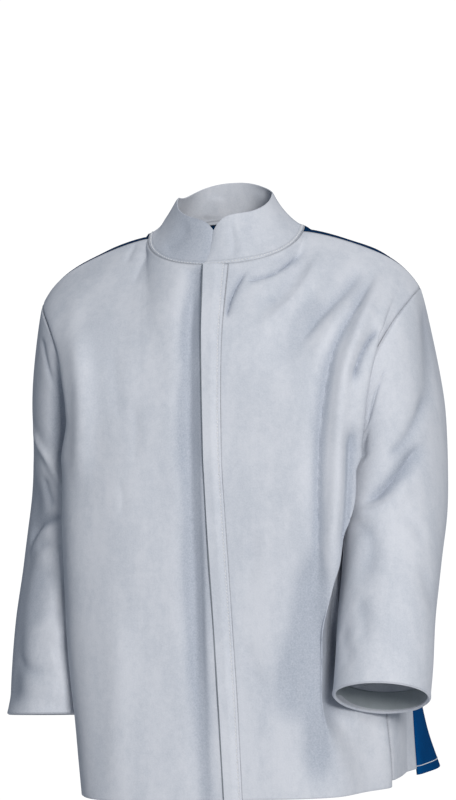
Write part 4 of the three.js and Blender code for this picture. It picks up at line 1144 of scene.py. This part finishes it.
def build_side(name, side, suede):
    """A side piece: the body between the two side seams, a step short at the hem."""
    share = edge_steps(0, 1, count_for(SIDE_PIECE_WIDTH), SIDE_PIECE_WIDTH, True, True)[None]
    if side < 0:
        share = share[:, ::-1]
    drop = BODY_LENGTH - ARMPIT_DROP
    rise = edge_steps(SIDE_HEM_STEP / drop, 1, count_for(drop), drop, fine_end=True)[:, None]
    angle = mix(seam_angle(True, rise), seam_angle(False, rise), share)
    points = body_point(side, angle, mix(-BODY_LENGTH, -ARMPIT_DROP, rise))
    edge = np.minimum(distance_from(points, 1, False), distance_from(points, 1, True))
    top = distance_from(points, 0, True)
    dip = seam_dip(edge, sizes().seam_depth) + seam_dip(top, sizes().seam_depth)
    add_panel(name, suede, points, dip, faces_of(LEATHER), np.exp(-edge / SIDE_MARK_WIDTH))


# Sleeves


def sleeve_drop(side):
    """How far a sleeve's outer side falls from the shoulder to the cuff."""
    return LEFT_SLEEVE_DROP if side > 0 else RIGHT_SLEEVE_DROP


def sleeve_clearance(turn, along):
    """How far a sleeve keeps off its armhole: nothing at the seam, then most of all under the arm."""
    return (TOP_CLEARANCE + UNDER_CLEARANCE * np.sin(np.pi * turn)) * fade_in(along, 0, CLEARANCE_BLEND)


def sleeve_girth(share):
    """Length round a sleeve, as a share of a circle with the armhole's half depth."""
    return 2 * np.pi * SLEEVE_HALF_DEPTH * share


def sleeve_grid(side, turn, along):
    """A sleeve's points and the height of its folds."""
    points = plain_sleeve(side, turn, along, sleeve_clearance(turn, along))
    folds = LEFT_SLEEVE_FOLDS if side > 0 else RIGHT_SLEEVE_FOLDS
    girth, length = sleeve_girth(FOLD_GIRTH), sleeve_drop(side)
    height = fold_height(folds, turn * girth, along * length, girth, length, girth) * sizes().fold_strength
    return points, height * fade_in(along, 0, SLEEVE_FADE) * fade_out(along, 1, CUFF_FADE)


def build_sleeve(name, side, suede):
    """A sleeve: a tube from the armhole's seam to the cuff, whose wall thickens to a rolled rim."""
    length = sleeve_drop(side) * BENT_SHARE
    girth = sleeve_girth(GRID_GIRTH)
    front = np.linspace(0, ARMPIT_TURN, count_for(girth * ARMPIT_TURN, SLEEVE_FINER))
    under_count = count_for(girth * (1 - 2 * ARMPIT_TURN), SLEEVE_FINER)
    under = np.linspace(ARMPIT_TURN, 1 - ARMPIT_TURN, under_count)
    turn = np.concatenate([front, under[1:], 1 - front[-2:0:-1]])
    along = edge_steps(1, 0, count_for(length, SLEEVE_FINER), length, True, True)[:, None]
    if side > 0:
        turn = turn[::-1]
    points, height = sleeve_grid(side, turn[None], along)
    waves = sizes().ripple * hanging_ripple(points, SLEEVE_SEED + side)
    height = height + waves * fade_in(along, 0, SLEEVE_WAVE_FADE)
    start = distance_from(points, 0, True)
    rim = bell(distance_from(points, 0, False), RIM_REACH)
    outer, inner = faces_of(LEATHER)
    faces = (outer + RIM_OUT * rim, inner - RIM_IN * rim)
    height = height + seam_dip(start, sizes().seam_depth)
    add_panel(name, suede, points, height, faces, np.exp(-start / MARK_WIDTH), closed=True)


def build_cuff_facing(name, side, inside):
    """The turned facing inside a cuff: a ring from just above the rim to its cut edge."""
    length = sleeve_drop(side)
    turn = np.linspace(0, 1, count_for(sleeve_girth(CUFF_GIRTH)))[:-1]
    along = np.linspace(1 - CUFF_FACING_START / length, 1 - CUFF_FACING_DEPTH / length, CUFF_FACING_ROWS)
    if side > 0:
        turn = turn[::-1]
    points, height = sleeve_grid(side, turn[None], along[:, None])
    faces = faces_of(LEATHER, -(LEATHER + SEAM_GAP))
    add_panel(name, inside, points, height, faces, closed=True)


# Collar


def build_collar(suede):
    """The collar: one band whose over end lies a leather's thickness outside the under end. Its lowest
    row is sunk into the neck seam, and a row of stitches draws a line into it."""
    share = edge_steps(1, 0, count_for(COLLAR_LENGTH, COLLAR_FINER), COLLAR_LENGTH, True, True)[None]
    rises = count_for(COLLAR_MEAN_HEIGHT, COLLAR_RISE_FINER)
    rise = edge_steps(0, 1, rises, COLLAR_MEAN_HEIGHT, True, True)
    stitched = (COLLAR_STITCH_LIFT + STITCH_GROOVE * np.linspace(-1.5, 1.5, 5)) / COLLAR_MEAN_HEIGHT
    rise = np.union1d(rise, stitched)[:, None]
    points = collar_point(share, rise)
    lap = (LEATHER + SEAM_GAP * 2) / 2
    over = fade_in(share, 1 - COLLAR_LAP, COLLAR_LAP_BLEND)
    under = fade_out(share, COLLAR_LAP, COLLAR_LAP_BLEND)
    base = distance_from(points, 0, False)
    row = bell(base - COLLAR_STITCH_LIFT, STITCH_GROOVE)
    height = seam_dip(base, COLLAR_DIP_SHARE * sizes().seam_depth) + lap * (over - under)
    height = height + sizes().ripple * ripple(points, COLLAR_WAVE_LENGTH, COLLAR_SEED)
    height = height + fold_height(
        COLLAR_FOLDS, share * COLLAR_LENGTH, rise * COLLAR_OVER_HEIGHT, COLLAR_LENGTH, COLLAR_OVER_HEIGHT
    )
    height = height - STITCH_SINK * row
    sunk = points[:1] * COLLAR_SUNK_SCALE + COLLAR_SUNK_DROP
    points = np.concatenate([sunk, points])
    base, row, height = (np.concatenate([values[:1], values]) for values in (base, row, height))
    seam = np.maximum(COLLAR_MARK_SHARE * np.exp(-base / MARK_WIDTH), STITCH_SHADE * row)
    # Painted shade: the collar's under end is darkened through the mark fold
    shade = COLLAR_SHADE * fade_out(share, COLLAR_SHADE_END, COLLAR_SHADE_BLEND)
    return add_panel("collar", suede, points, height, faces_of(LEATHER), seam, shade)


# Front closure


def strip_grid(x, bottom, top):
    """Points on the fronts at distances from the middle, from below or above the hem up to the neck."""
    hem = -bottom / (BODY_LENGTH - ARMPIT_DROP) * YOKE_START
    v = np.linspace(hem, top, count_for(BODY_LENGTH))[:, None]
    u = panel_share(np.abs(x))[None]
    return np.where((x >= 0)[None, :, None], plain_panel(1, True, u, v), plain_panel(-1, True, u, v))


def placket_levels():
    """Heights of the closure's layers over the middle of the front's wall: the middle of the strip, the
    facing and the flap over both."""
    strip_bottom = LEATHER / 2 + SEAM_GAP
    strip_top = strip_bottom + STRIP_THICKNESS
    facing = strip_top + SEAM_GAP + LEATHER / 2
    return (strip_bottom + strip_top) / 2, facing, facing + LEATHER + SEAM_GAP


def build_placket(suede):
    """The placket's flap, a strip that follows the fronts. Its sewn edge lies in the left front's step,
    and its free edge stands on the layers under it."""
    half = PLACKET_WIDTH / 2
    stitched = half - PLACKET_STITCH_INSET + STITCH_GROOVE * np.linspace(-1.5, 1.5, 5)
    x = np.union1d(edge_steps(-half, half, 16, PLACKET_WIDTH, True, True), stitched)
    points = strip_grid(x, PLACKET_DROP, PLACKET_TOP)
    share = (x + half) / PLACKET_WIDTH
    row = bell(half - x - PLACKET_STITCH_INSET, STITCH_GROOVE)
    level = mix(placket_levels()[2], 0, ease(mix(FLAP_START, 1, share)))
    level = level - FLAP_EDGE_DROP * bell(half - x, FLAP_EDGE_WIDTH) - STITCH_SINK * row
    waves = sizes().ripple * PLACKET_WAVE_HEIGHT * ripple(points, PLACKET_WAVE_LENGTH, PLACKET_SEED)
    seam = np.maximum(bell(half - x, MARK_WIDTH), STITCH_SHADE * row)
    return add_panel("placket", suede, points, level + waves, faces_of(LEATHER), seam)


def build_under_placket(inside, tape):
    """The two layers under the flap: the facing that peeks out beside it and the closing tape."""
    half = PLACKET_WIDTH / 2
    strip_level, facing_level, _ = placket_levels()
    x = np.linspace(-half - FACING_SHOW, -half - FACING_SHOW + FACING_WIDTH, 8)
    points = strip_grid(x, FACING_DROP, PLACKET_TOP)
    level = np.full(points.shape[:2], facing_level)
    add_panel("placket_facing", inside, points, level, faces_of(LEATHER))
    x = np.linspace(-half + STRIP_INSET, -half + STRIP_INSET + STRIP_WIDTH, 5)
    points = strip_grid(x, -STRIP_HEM_LIFT, STRIP_TOP)
    level = np.full(points.shape[:2], strip_level)
    add_panel("closure_strip", tape, points, level, faces_of(STRIP_THICKNESS), sheet=False)


# Stitches


def line_on(points, normals, lift, length, end=False):
    """A line along the rows of a grid, at a length from its first or last row and raised by a lift,
    with its normals."""
    distance = distance_from(points, 0, end).mean(1)
    rows = np.arange(len(distance), dtype=float)
    if end:
        distance, rows = distance[::-1], rows[::-1]
    row = float(np.interp(length, distance, rows))
    low = int(np.floor(row))
    high = min(low + 1, len(points) - 1)
    normal = unit(mix(normals[low], normals[high], row - low))
    return mix(points[low], points[high], row - low) + normal * lift, normal


def build_stitches(name, line, normal, material, pitch, share=STITCH_SHARE):
    """A row of stitches: each is a small bent spindle that dips into the leather at both ends. The
    template is a six-sided tube with tapering ends, carried to every place at once."""
    thread = sizes().thread
    along = np.array([-0.5, -0.42, -0.2, 0.2, 0.42, 0.5])
    thick = np.array([0.25, 0.7, 1.0, 1.0, 0.7, 0.25]) * thread / 2
    sink = -np.abs(along * 2) ** 3 * thread * STITCH_DIP
    sides = 6
    angle = 2 * np.pi * np.arange(sides) / sides
    steps = np.linalg.norm(np.diff(line, axis=0), axis=1)
    reach = np.concatenate([[0], np.cumsum(steps)])
    places = np.arange(pitch / 2, reach[-1], pitch)

    def read(values, at):
        return np.stack([np.interp(at, reach, values[:, k]) for k in range(3)], -1)

    up = unit(read(normal, places))
    forward = unit(read(line, places + 1) - read(line, places - 1))
    aside = unit(np.cross(up, forward))
    ring = (
        read(line, places)[:, None, None]
        + forward[:, None, None] * (along * pitch * share)[None, :, None, None]
        + up[:, None, None] * sink[None, :, None, None]
        + aside[:, None, None] * (thick[:, None] * np.cos(angle))[None, ..., None]
        + up[:, None, None] * (thick[:, None] * np.sin(angle))[None, ..., None]
    )
    body = grid_quads(len(along), sides, 0, True, False)
    ends = np.array([[0, 3, 2, 1], [0, 5, 4, 3], [30, 31, 32, 33], [30, 33, 34, 35]])
    template = np.concatenate([body, ends])
    starts = np.arange(len(places)) * len(along) * sides
    quads = (template[None] + starts[:, None, None]).reshape(-1, 4)
    piece = new_mesh(name, ring.reshape(-1, 3), quads, smooth_angle=THREAD_SMOOTH_ANGLE)
    piece.data.materials.append(material)
    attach(piece, "root")


# Materials


def socket(group, name, kind, output=False, default=None):
    """Adds a socket to a node group's interface."""
    made = group.interface.new_socket(name=name, in_out="OUTPUT" if output else "INPUT", socket_type=kind)
    if default is not None:
        made.default_value = default


class Nodes:
    """Short calls to place and link the nodes of one tree."""

    def __init__(self, tree):
        self.tree = tree

    def add(self, kind, inputs=None, **settings):
        """Adds a node, sets its settings, and sets or links its inputs by name or number."""
        node = self.tree.nodes.new(kind)
        for key, value in settings.items():
            setattr(node, key, value)
        for key, value in (inputs or {}).items():
            if isinstance(value, bpy.types.NodeSocket):
                self.tree.links.new(value, node.inputs[key])
            else:
                node.inputs[key].default_value = value
        return node

    def math(self, operation, a, b, clamp=False):
        """A Math node's output."""
        return self.add("ShaderNodeMath", {0: a, 1: b}, operation=operation, use_clamp=clamp).outputs[0]

    def weigh(self, a, share_a, b, share_b):
        """The sum of two values, each times its share."""
        return self.math("ADD", self.math("MULTIPLY", a, share_a), self.math("MULTIPLY", b, share_b))

    def roughness(self, shader, value, spread, base):
        """Gives a shader the roughness of a value times a spread, plus a base."""
        node = self.add("ShaderNodeMath", {0: value, 1: spread, 2: base}, operation="MULTIPLY_ADD")
        self.tree.links.new(node.outputs[0], shader.inputs["Roughness"])

    def bump(self, shader, height, strength, distance):
        """Gives a shader the bumps of a height."""
        node = self.add("ShaderNodeBump", {"Height": height, "Strength": strength, "Distance": distance})
        self.tree.links.new(node.outputs["Normal"], shader.inputs["Normal"])

    def ramp(self, value, low, high):
        """A value stretched so that low becomes 0 and high becomes 1, smoothly."""
        inputs = {"Value": value, "From Min": low, "From Max": high}
        return self.add("ShaderNodeMapRange", inputs, interpolation_type="SMOOTHSTEP").outputs["Result"]

    def blend(self, factor, a, b, kind="MIX"):
        """A colour mixed from two colours."""
        node = self.add("ShaderNodeMix", {"Factor": factor}, data_type="RGBA", blend_type=kind)
        for index, value in ((6, a), (7, b)):
            if isinstance(value, bpy.types.NodeSocket):
                self.tree.links.new(value, node.inputs[index])
            else:
                node.inputs[index].default_value = (*value, 1.0) if len(value) == 3 else value
        return node.outputs[2]

    def noise(self, vector, scale, detail=2.0, rough=0.5):
        """A noise texture's value."""
        return self.add(
            "ShaderNodeTexNoise", {"Vector": vector, "Scale": scale, "Detail": detail, "Roughness": rough}
        ).outputs["Fac"]


def nap_group():
    """Suede nap: slow cloudy patches, brushed streaks that run down, and fine fibre height."""
    group = bpy.data.node_groups.new("suede_nap", "ShaderNodeTree")
    socket(group, "Vector", "NodeSocketVector")
    socket(group, "Streaks", "NodeSocketFloat", default=1.0)
    socket(group, "Cloud", "NodeSocketFloat", output=True)
    socket(group, "Brush", "NodeSocketFloat", output=True)
    socket(group, "Fibre", "NodeSocketFloat", output=True)
    n = Nodes(group)
    start = n.add("NodeGroupInput")
    vector = start.outputs["Vector"]
    hanging = n.add("ShaderNodeMapping", {"Vector": vector, "Scale": (1.0, 1.0, 0.35)}).outputs["Vector"]
    cloud = n.noise(hanging, 24.0, 3.0, 0.55)
    patches = n.noise(vector, 110.0, 4.0, 0.65)
    stretched = n.add("ShaderNodeMapping", {"Vector": vector, "Scale": (1.0, 1.0, 0.22)}).outputs["Vector"]
    streaks = n.noise(stretched, 170.0, 3.0, 0.6)
    fibre = n.noise(vector, 520.0, 4.0, 0.7)
    slow = n.weigh(cloud, 0.65, patches, 0.35)
    brushed = n.math("MULTIPLY", n.math("SUBTRACT", streaks, 0.5), start.outputs["Streaks"])
    end = n.add("NodeGroupOutput")
    n.tree.links.new(n.ramp(slow, 0.37, 0.63), end.inputs["Cloud"])
    n.tree.links.new(n.math("ADD", brushed, 0.5), end.inputs["Brush"])
    n.tree.links.new(fibre, end.inputs["Fibre"])
    return group


def new_material(name):
    """A material with an empty tree, its output and its shader."""
    material = bpy.data.materials.new(name)
    material.use_nodes = True
    tree = material.node_tree
    tree.nodes.clear()
    n = Nodes(tree)
    shader = n.add("ShaderNodeBsdfPrincipled")
    output = n.add("ShaderNodeOutputMaterial")
    tree.links.new(shader.outputs[0], output.inputs[0])
    return material, n, shader


def shaded(colour, *shares):
    """A colour times one share, or times a share for each channel."""
    return tuple(share * c for c, share in zip(colour, shares * (3 // len(shares))))


def suede_material(name, nap, light, dark, strength=1.0):
    """Split suede: two tones mixed by cloud and brush marks, with painted shade from the fold's height that
    gives low folds a darker tone and colour, darker at seams, with pale specks of fibre, a soft sheen, and a
    bump from the fibres and the brush marks."""
    material, n, shader = new_material(name)
    place = n.add("ShaderNodeTexCoord").outputs["Object"]
    made = n.add("ShaderNodeGroup", node_tree=nap)
    n.tree.links.new(place, made.inputs["Vector"])
    made.inputs["Streaks"].default_value = 0.8
    cloud, brush, fibre = (made.outputs[k] for k in ("Cloud", "Brush", "Fibre"))
    fold = n.add("ShaderNodeAttribute", attribute_name="fold").outputs["Fac"]
    seam = n.add("ShaderNodeAttribute", attribute_name="seam").outputs["Fac"]
    # Painted shade: the low places of folds, read from the mark fold, get a darker tone and a darker, bluer
    # colour
    low = n.ramp(fold, 0.5, -7.5)
    tone = n.weigh(cloud, 0.5, brush, 0.5)
    tone = n.math("SUBTRACT", tone, n.math("MULTIPLY", low, 0.3), clamp=True)
    colour = n.blend(tone, dark, light)
    colour = n.blend(n.math("MULTIPLY", low, 0.64), colour, shaded(dark, 0.62, 0.66, 0.72))
    colour = n.blend(n.math("MULTIPLY", seam, 0.85), colour, shaded(dark, 0.36, 0.35, 0.35))
    speck = n.ramp(fibre, 0.25, 0.75)
    fine = n.blend(n.math("MULTIPLY", speck, 0.36), colour, shaded(light, 1.12))
    n.tree.links.new(fine, shader.inputs["Base Color"])
    n.roughness(shader, brush, 0.12, 0.84)
    shader.inputs["Specular IOR Level"].default_value = 0.22
    shader.inputs["Sheen Weight"].default_value = 0.18
    shader.inputs["Sheen Roughness"].default_value = 0.6
    shader.inputs["Sheen Tint"].default_value = (0.9, 0.93, 1.0, 1.0)
    n.bump(shader, n.weigh(fibre, 0.55, brush, 0.45), 0.45 * strength, 0.0006)
    return material


def cotton_material(colour):
    """Twill cotton: diagonal ribs from the panel's own map, faded a little in patches."""
    material, n, shader = new_material("blue_cotton_twill")
    uv = n.add("ShaderNodeUVMap", uv_map="UVMap").outputs["UV"]
    place = n.add("ShaderNodeTexCoord").outputs["Object"]
    weave = {"Vector": uv, "Scale": 330.0, "Distortion": 1.2, "Detail": 2.0, "Detail Scale": 2.0}
    rib = n.add("ShaderNodeTexWave", weave, bands_direction="DIAGONAL").outputs["Fac"]
    cloud = n.noise(place, 18.0, 3.0)
    slub = n.noise(place, 420.0, 2.0)
    seam = n.add("ShaderNodeAttribute", attribute_name="seam").outputs["Fac"]
    tone = n.weigh(cloud, 0.6, slub, 0.4)
    base = n.blend(n.ramp(tone, 0.3, 0.7), shaded(colour, 0.8), shaded(colour, 1.15))
    base = n.blend(n.math("MULTIPLY", rib, 0.25), base, shaded(colour, 1.4))
    # Darkened by the seam mark: painted shade along the top seam, and a dark line at the side seams
    base = n.blend(n.math("MULTIPLY", seam, 0.8), base, shaded(colour, 0.25))
    n.tree.links.new(base, shader.inputs["Base Color"])
    n.roughness(shader, slub, 0.15, 0.72)
    shader.inputs["Specular IOR Level"].default_value = 0.06
    n.bump(shader, n.weigh(rib, 0.7, slub, 0.3), 0.4, 0.0004)
    return material


def thread_material(name, colour):
    """Spun thread: a fine twist in tone and height."""
    material, n, shader = new_material(name)
    place = n.add("ShaderNodeTexCoord").outputs["Object"]
    twist = n.noise(place, 2600.0, 2.0)
    base = n.blend(n.ramp(twist, 0.35, 0.65), shaded(colour, 0.78), colour)
    n.tree.links.new(base, shader.inputs["Base Color"])
    n.roughness(shader, twist, 0.1, 0.6)
    n.bump(shader, twist, 0.3, 0.0002)
    return material


def tape_material():
    """Hook and loop tape: a dark pile."""
    material, n, shader = new_material("hook_and_loop_tape")
    place = n.add("ShaderNodeTexCoord").outputs["Object"]
    pile = n.add("ShaderNodeTexVoronoi", {"Vector": place, "Scale": 900.0}).outputs["Distance"]
    base = n.blend(n.ramp(pile, 0.1, 0.6), (0.05, 0.05, 0.06), (0.015, 0.015, 0.018))
    n.tree.links.new(base, shader.inputs["Base Color"])
    shader.inputs["Roughness"].default_value = 0.9
    n.bump(shader, pile, 0.6, 0.0006)
    return material


def material(name):
    """A finished material by name, made on first use."""
    found = bpy.data.materials.get(name)
    if found:
        return found
    nap = bpy.data.node_groups.get("suede_nap") or nap_group()
    c = colours()
    makers = {
        "split_suede": lambda: suede_material("split_suede", nap, tuple(c.suede_light), tuple(c.suede_dark)),
        "suede_inner_side": lambda: suede_material(
            "suede_inner_side", nap, tuple(c.suede_inside), shaded(c.suede_inside, 0.8), strength=1.3
        ),
        "blue_cotton_twill": lambda: cotton_material(tuple(c.cotton)),
        "leather_thread": lambda: thread_material("leather_thread", tuple(c.leather_thread)),
        "white_hem_thread": lambda: thread_material("white_hem_thread", tuple(c.hem_thread)),
        "hook_and_loop_tape": tape_material,
    }
    return makers[name]()


# Operators


class JACKET_OT_fronts(Operator):
    """Builds the two leather fronts"""

    bl_idname = "jacket.fronts"
    bl_label = "Fronts"

    def execute(self, context):
        build_front("front_left", 1, PLACKET_WIDTH / 2 - PLACKET_LAP, material("split_suede"))
        build_front("front_right", -1, -UNDER_LAP, material("split_suede"))
        return {"FINISHED"}


class JACKET_OT_back(Operator):
    """Builds the cotton back and the white stitches of its hem"""

    bl_idname = "jacket.back"
    bl_label = "Back"

    def execute(self, context):
        points, normals = build_back(material("blue_cotton_twill"))
        row = line_on(points, normals, COTTON / 2 + HEM_STITCH_RAISE, HEM_STITCH_LIFT)
        thread = material("white_hem_thread")
        build_stitches("back_hem_stitches", *row, thread, HEM_STITCH_PITCH, HEM_STITCH_SHARE)
        return {"FINISHED"}


class JACKET_OT_sides(Operator):
    """Builds the leather side pieces"""

    bl_idname = "jacket.sides"
    bl_label = "Side pieces"

    def execute(self, context):
        build_side("side_left", 1, material("split_suede"))
        build_side("side_right", -1, material("split_suede"))
        return {"FINISHED"}


class JACKET_OT_sleeves(Operator):
    """Builds the sleeves and their turned cuff facings"""

    bl_idname = "jacket.sleeves"
    bl_label = "Sleeves"

    def execute(self, context):
        for side, word in ((1, "left"), (-1, "right")):
            build_sleeve("sleeve_" + word, side, material("split_suede"))
            build_cuff_facing("cuff_facing_" + word, side, material("suede_inner_side"))
        return {"FINISHED"}


class JACKET_OT_collar(Operator):
    """Builds the stand collar and the stitches above its base"""

    bl_idname = "jacket.collar"
    bl_label = "Collar"

    def execute(self, context):
        points, normals = build_collar(material("split_suede"))
        row = line_on(points, normals, LEATHER / 2 + STITCH_SINK, COLLAR_STITCH_LIFT)
        build_stitches("collar_stitches", *row, material("leather_thread"), sizes().stitch_pitch)
        return {"FINISHED"}


class JACKET_OT_placket(Operator):
    """Builds the placket, its facing, the closing tape and the stitches beside the seam"""

    bl_idname = "jacket.placket"
    bl_label = "Placket"

    def execute(self, context):
        points, normals = (np.swapaxes(grid, 0, 1) for grid in build_placket(material("split_suede")))
        build_under_placket(material("suede_inner_side"), material("hook_and_loop_tape"))
        row = line_on(points, normals, LEATHER / 2 + STITCH_SINK, PLACKET_STITCH_INSET, end=True)
        build_stitches("placket_stitches", *row, material("leather_thread"), sizes().stitch_pitch)
        return {"FINISHED"}


# The camera: distance and angle towards the wearer's left, its height, and the picture's roll
CAMERA_ANGLE = math.radians(11)
CAMERA_DISTANCE = 3.2
CAMERA_HEIGHT = -0.216
CAMERA_ROLL = math.radians(2)
CAMERA_ASIDE = -0.0061
CAMERA_LENS = 113.4
SENSOR = 36.0

# Lights in metres, each as its place, size, power and colour, and the surround as light and as backdrop
LIGHT_TARGET = (0, 0, -0.3)
LIGHTS = {
    "key": ((1.38, -2.76, 0.5), 0.9, 79, (1.0, 0.985, 0.965)),
    "fill": ((-2.4, -2.2, 0.2), 2.0, 3, (0.8, 0.9, 1.0)),
    "top": ((-0.2, -0.5, 2.2), 1.6, 10, (1, 1, 1)),
    "rim": ((-1.4, 2.2, 1.0), 1.6, 8, (1, 1, 1)),
}
AMBIENT = 0.15
AMBIENT_TINT = (0.74, 0.89, 1.1)
BACKDROP = 1.05

# The floor in metres: its drop, its inner and outer radius, where it starts to fade, and its grid
FLOOR_DROP = 0.98
FLOOR_HOLE = 0.02
FLOOR_RADIUS = 1.6
FLOOR_FADE = 0.7
FLOOR_RINGS = 24
FLOOR_SPOKES = 96


def add_area_light(name, place, size, power, colour):
    """A square soft light that faces the jacket."""
    data = bpy.data.lights.new(name, "AREA")
    data.shape = "SQUARE"
    data.size = size
    data.energy = power
    data.color = colour
    lamp = bpy.data.objects.new(name, data)
    lamp.location = place
    lamp.rotation_euler = (Vector(LIGHT_TARGET) - Vector(place)).to_track_quat("-Z", "Y").to_euler()
    bpy.context.scene.collection.objects.link(lamp)


def build_camera():
    """A level camera at the photo's angle, rolled a little about its view line."""
    right = Vector((math.cos(CAMERA_ANGLE), math.sin(CAMERA_ANGLE), 0))
    forward = Vector((-math.sin(CAMERA_ANGLE), math.cos(CAMERA_ANGLE), 0))
    up = Vector((0, 0, 1))
    tilted_right = right * math.cos(CAMERA_ROLL) - up * math.sin(CAMERA_ROLL)
    tilted_up = up * math.cos(CAMERA_ROLL) + right * math.sin(CAMERA_ROLL)
    data = bpy.data.cameras.new("camera")
    data.sensor_fit = "VERTICAL"
    data.sensor_height = SENSOR
    data.lens = CAMERA_LENS
    camera = bpy.data.objects.new("camera", data)
    place = -forward * CAMERA_DISTANCE + right * CAMERA_ASIDE + up * CAMERA_HEIGHT
    turned = Matrix((tilted_right, tilted_up, -forward)).transposed().to_4x4()
    camera.matrix_world = Matrix.Translation(place) @ turned
    bpy.context.scene.collection.objects.link(camera)
    bpy.context.scene.camera = camera


def build_floor():
    """A pale round floor under the jacket whose rim fades out."""
    angle = np.linspace(0, 2 * np.pi, FLOOR_SPOKES + 1)[:-1]
    radius = np.linspace(FLOOR_HOLE, FLOOR_RADIUS, FLOOR_RINGS)[:, None] / MM
    points = stack(radius * np.cos(angle), radius * np.sin(angle), -FLOOR_DROP / MM)
    quads = grid_quads(FLOOR_RINGS, FLOOR_SPOKES, 0, True, True)
    ring = np.arange(FLOOR_SPOKES)
    centre = np.array([[0.0, 0.0, -FLOOR_DROP / MM]])
    middle = np.full(FLOOR_SPOKES // 2, FLOOR_RINGS * FLOOR_SPOKES)
    caps = np.stack([middle, np.roll(ring[0::2], -1), ring[1::2], ring[0::2]], -1)
    vertices = np.concatenate([points.reshape(-1, 3), centre])
    floor = new_mesh("floor", vertices, np.concatenate([quads, caps[:, ::-1]]))
    pale, n, shader = new_material("pale_floor")
    shader.inputs["Base Color"].default_value = (0.86, 0.86, 0.87, 1)
    shader.inputs["Roughness"].default_value = 0.9
    place = n.add("ShaderNodeTexCoord").outputs["Object"]
    flat = n.add("ShaderNodeVectorMath", {0: place, 1: (1, 1, 0)}, operation="MULTIPLY").outputs[0]
    far = n.add("ShaderNodeVectorMath", {0: flat}, operation="LENGTH").outputs["Value"]
    n.tree.links.new(n.ramp(far, FLOOR_RADIUS, FLOOR_FADE), shader.inputs["Alpha"])
    floor.data.materials.append(pale)


class JACKET_OT_stage(Operator):
    """Builds the camera, the lights, the pale floor and the studio's white surround"""

    bl_idname = "jacket.stage"
    bl_label = "Stage"

    def execute(self, context):
        build_camera()
        build_floor()
        for name, light in LIGHTS.items():
            add_area_light(name, *light)
        world = bpy.data.worlds.new("studio")
        world.use_nodes = True
        n = Nodes(world.node_tree)
        world.node_tree.nodes.clear()
        ray = n.add("ShaderNodeLightPath").outputs["Is Camera Ray"]
        strength = n.math("ADD", n.math("MULTIPLY", ray, BACKDROP - AMBIENT), AMBIENT)
        tint = n.blend(ray, AMBIENT_TINT, (1.0, 1.0, 1.0))
        glow = n.add("ShaderNodeBackground", {"Color": tint, "Strength": strength}).outputs[0]
        n.tree.links.new(glow, n.add("ShaderNodeOutputWorld").inputs[0])
        context.scene.world = world
        context.scene.view_settings.view_transform = "Standard"
        context.scene.view_settings.look = "None"
        return {"FINISHED"}


class JACKET_PT_build(Panel):
    """Lists the jacket's sizes, colours and pieces"""

    bl_idname = "JACKET_PT_build"
    bl_label = "Welding Jacket"
    bl_space_type = "VIEW_3D"
    bl_region_type = "UI"
    bl_category = "Jacket"

    def draw(self, context):
        for group in (context.scene.jacket_sizes, context.scene.jacket_colours):
            column = self.layout.column()
            for name in group.__annotations__:
                column.prop(group, name)
        for operator in OPERATORS:
            self.layout.operator(operator.bl_idname)


OPERATORS = (
    JACKET_OT_stage,
    JACKET_OT_fronts,
    JACKET_OT_back,
    JACKET_OT_sides,
    JACKET_OT_sleeves,
    JACKET_OT_collar,
    JACKET_OT_placket,
)
CLASSES = (JacketSizes, JacketColours, *OPERATORS, JACKET_PT_build)


def register():
    """Registers the classes and their settings."""
    for cls in CLASSES:
        bpy.utils.register_class(cls)
    bpy.types.Scene.jacket_sizes = PointerProperty(type=JacketSizes)
    bpy.types.Scene.jacket_colours = PointerProperty(type=JacketColours)


def unregister():
    """Removes the settings and the classes."""
    del bpy.types.Scene.jacket_colours
    del bpy.types.Scene.jacket_sizes
    for cls in reversed(CLASSES):
        bpy.utils.unregister_class(cls)


def corners(box):
    """A box's two corners as plain lists."""
    return [[float(value) for value in corner] for corner in box]


def main():
    """Builds every piece in order."""
    register()
    bpy.ops.jacket.stage()
    bpy.ops.jacket.fronts()
    bpy.ops.jacket.back()
    bpy.ops.jacket.sides()
    bpy.ops.jacket.sleeves()
    bpy.ops.jacket.collar()
    bpy.ops.jacket.placket()


if __name__ == "__main__":
    main()
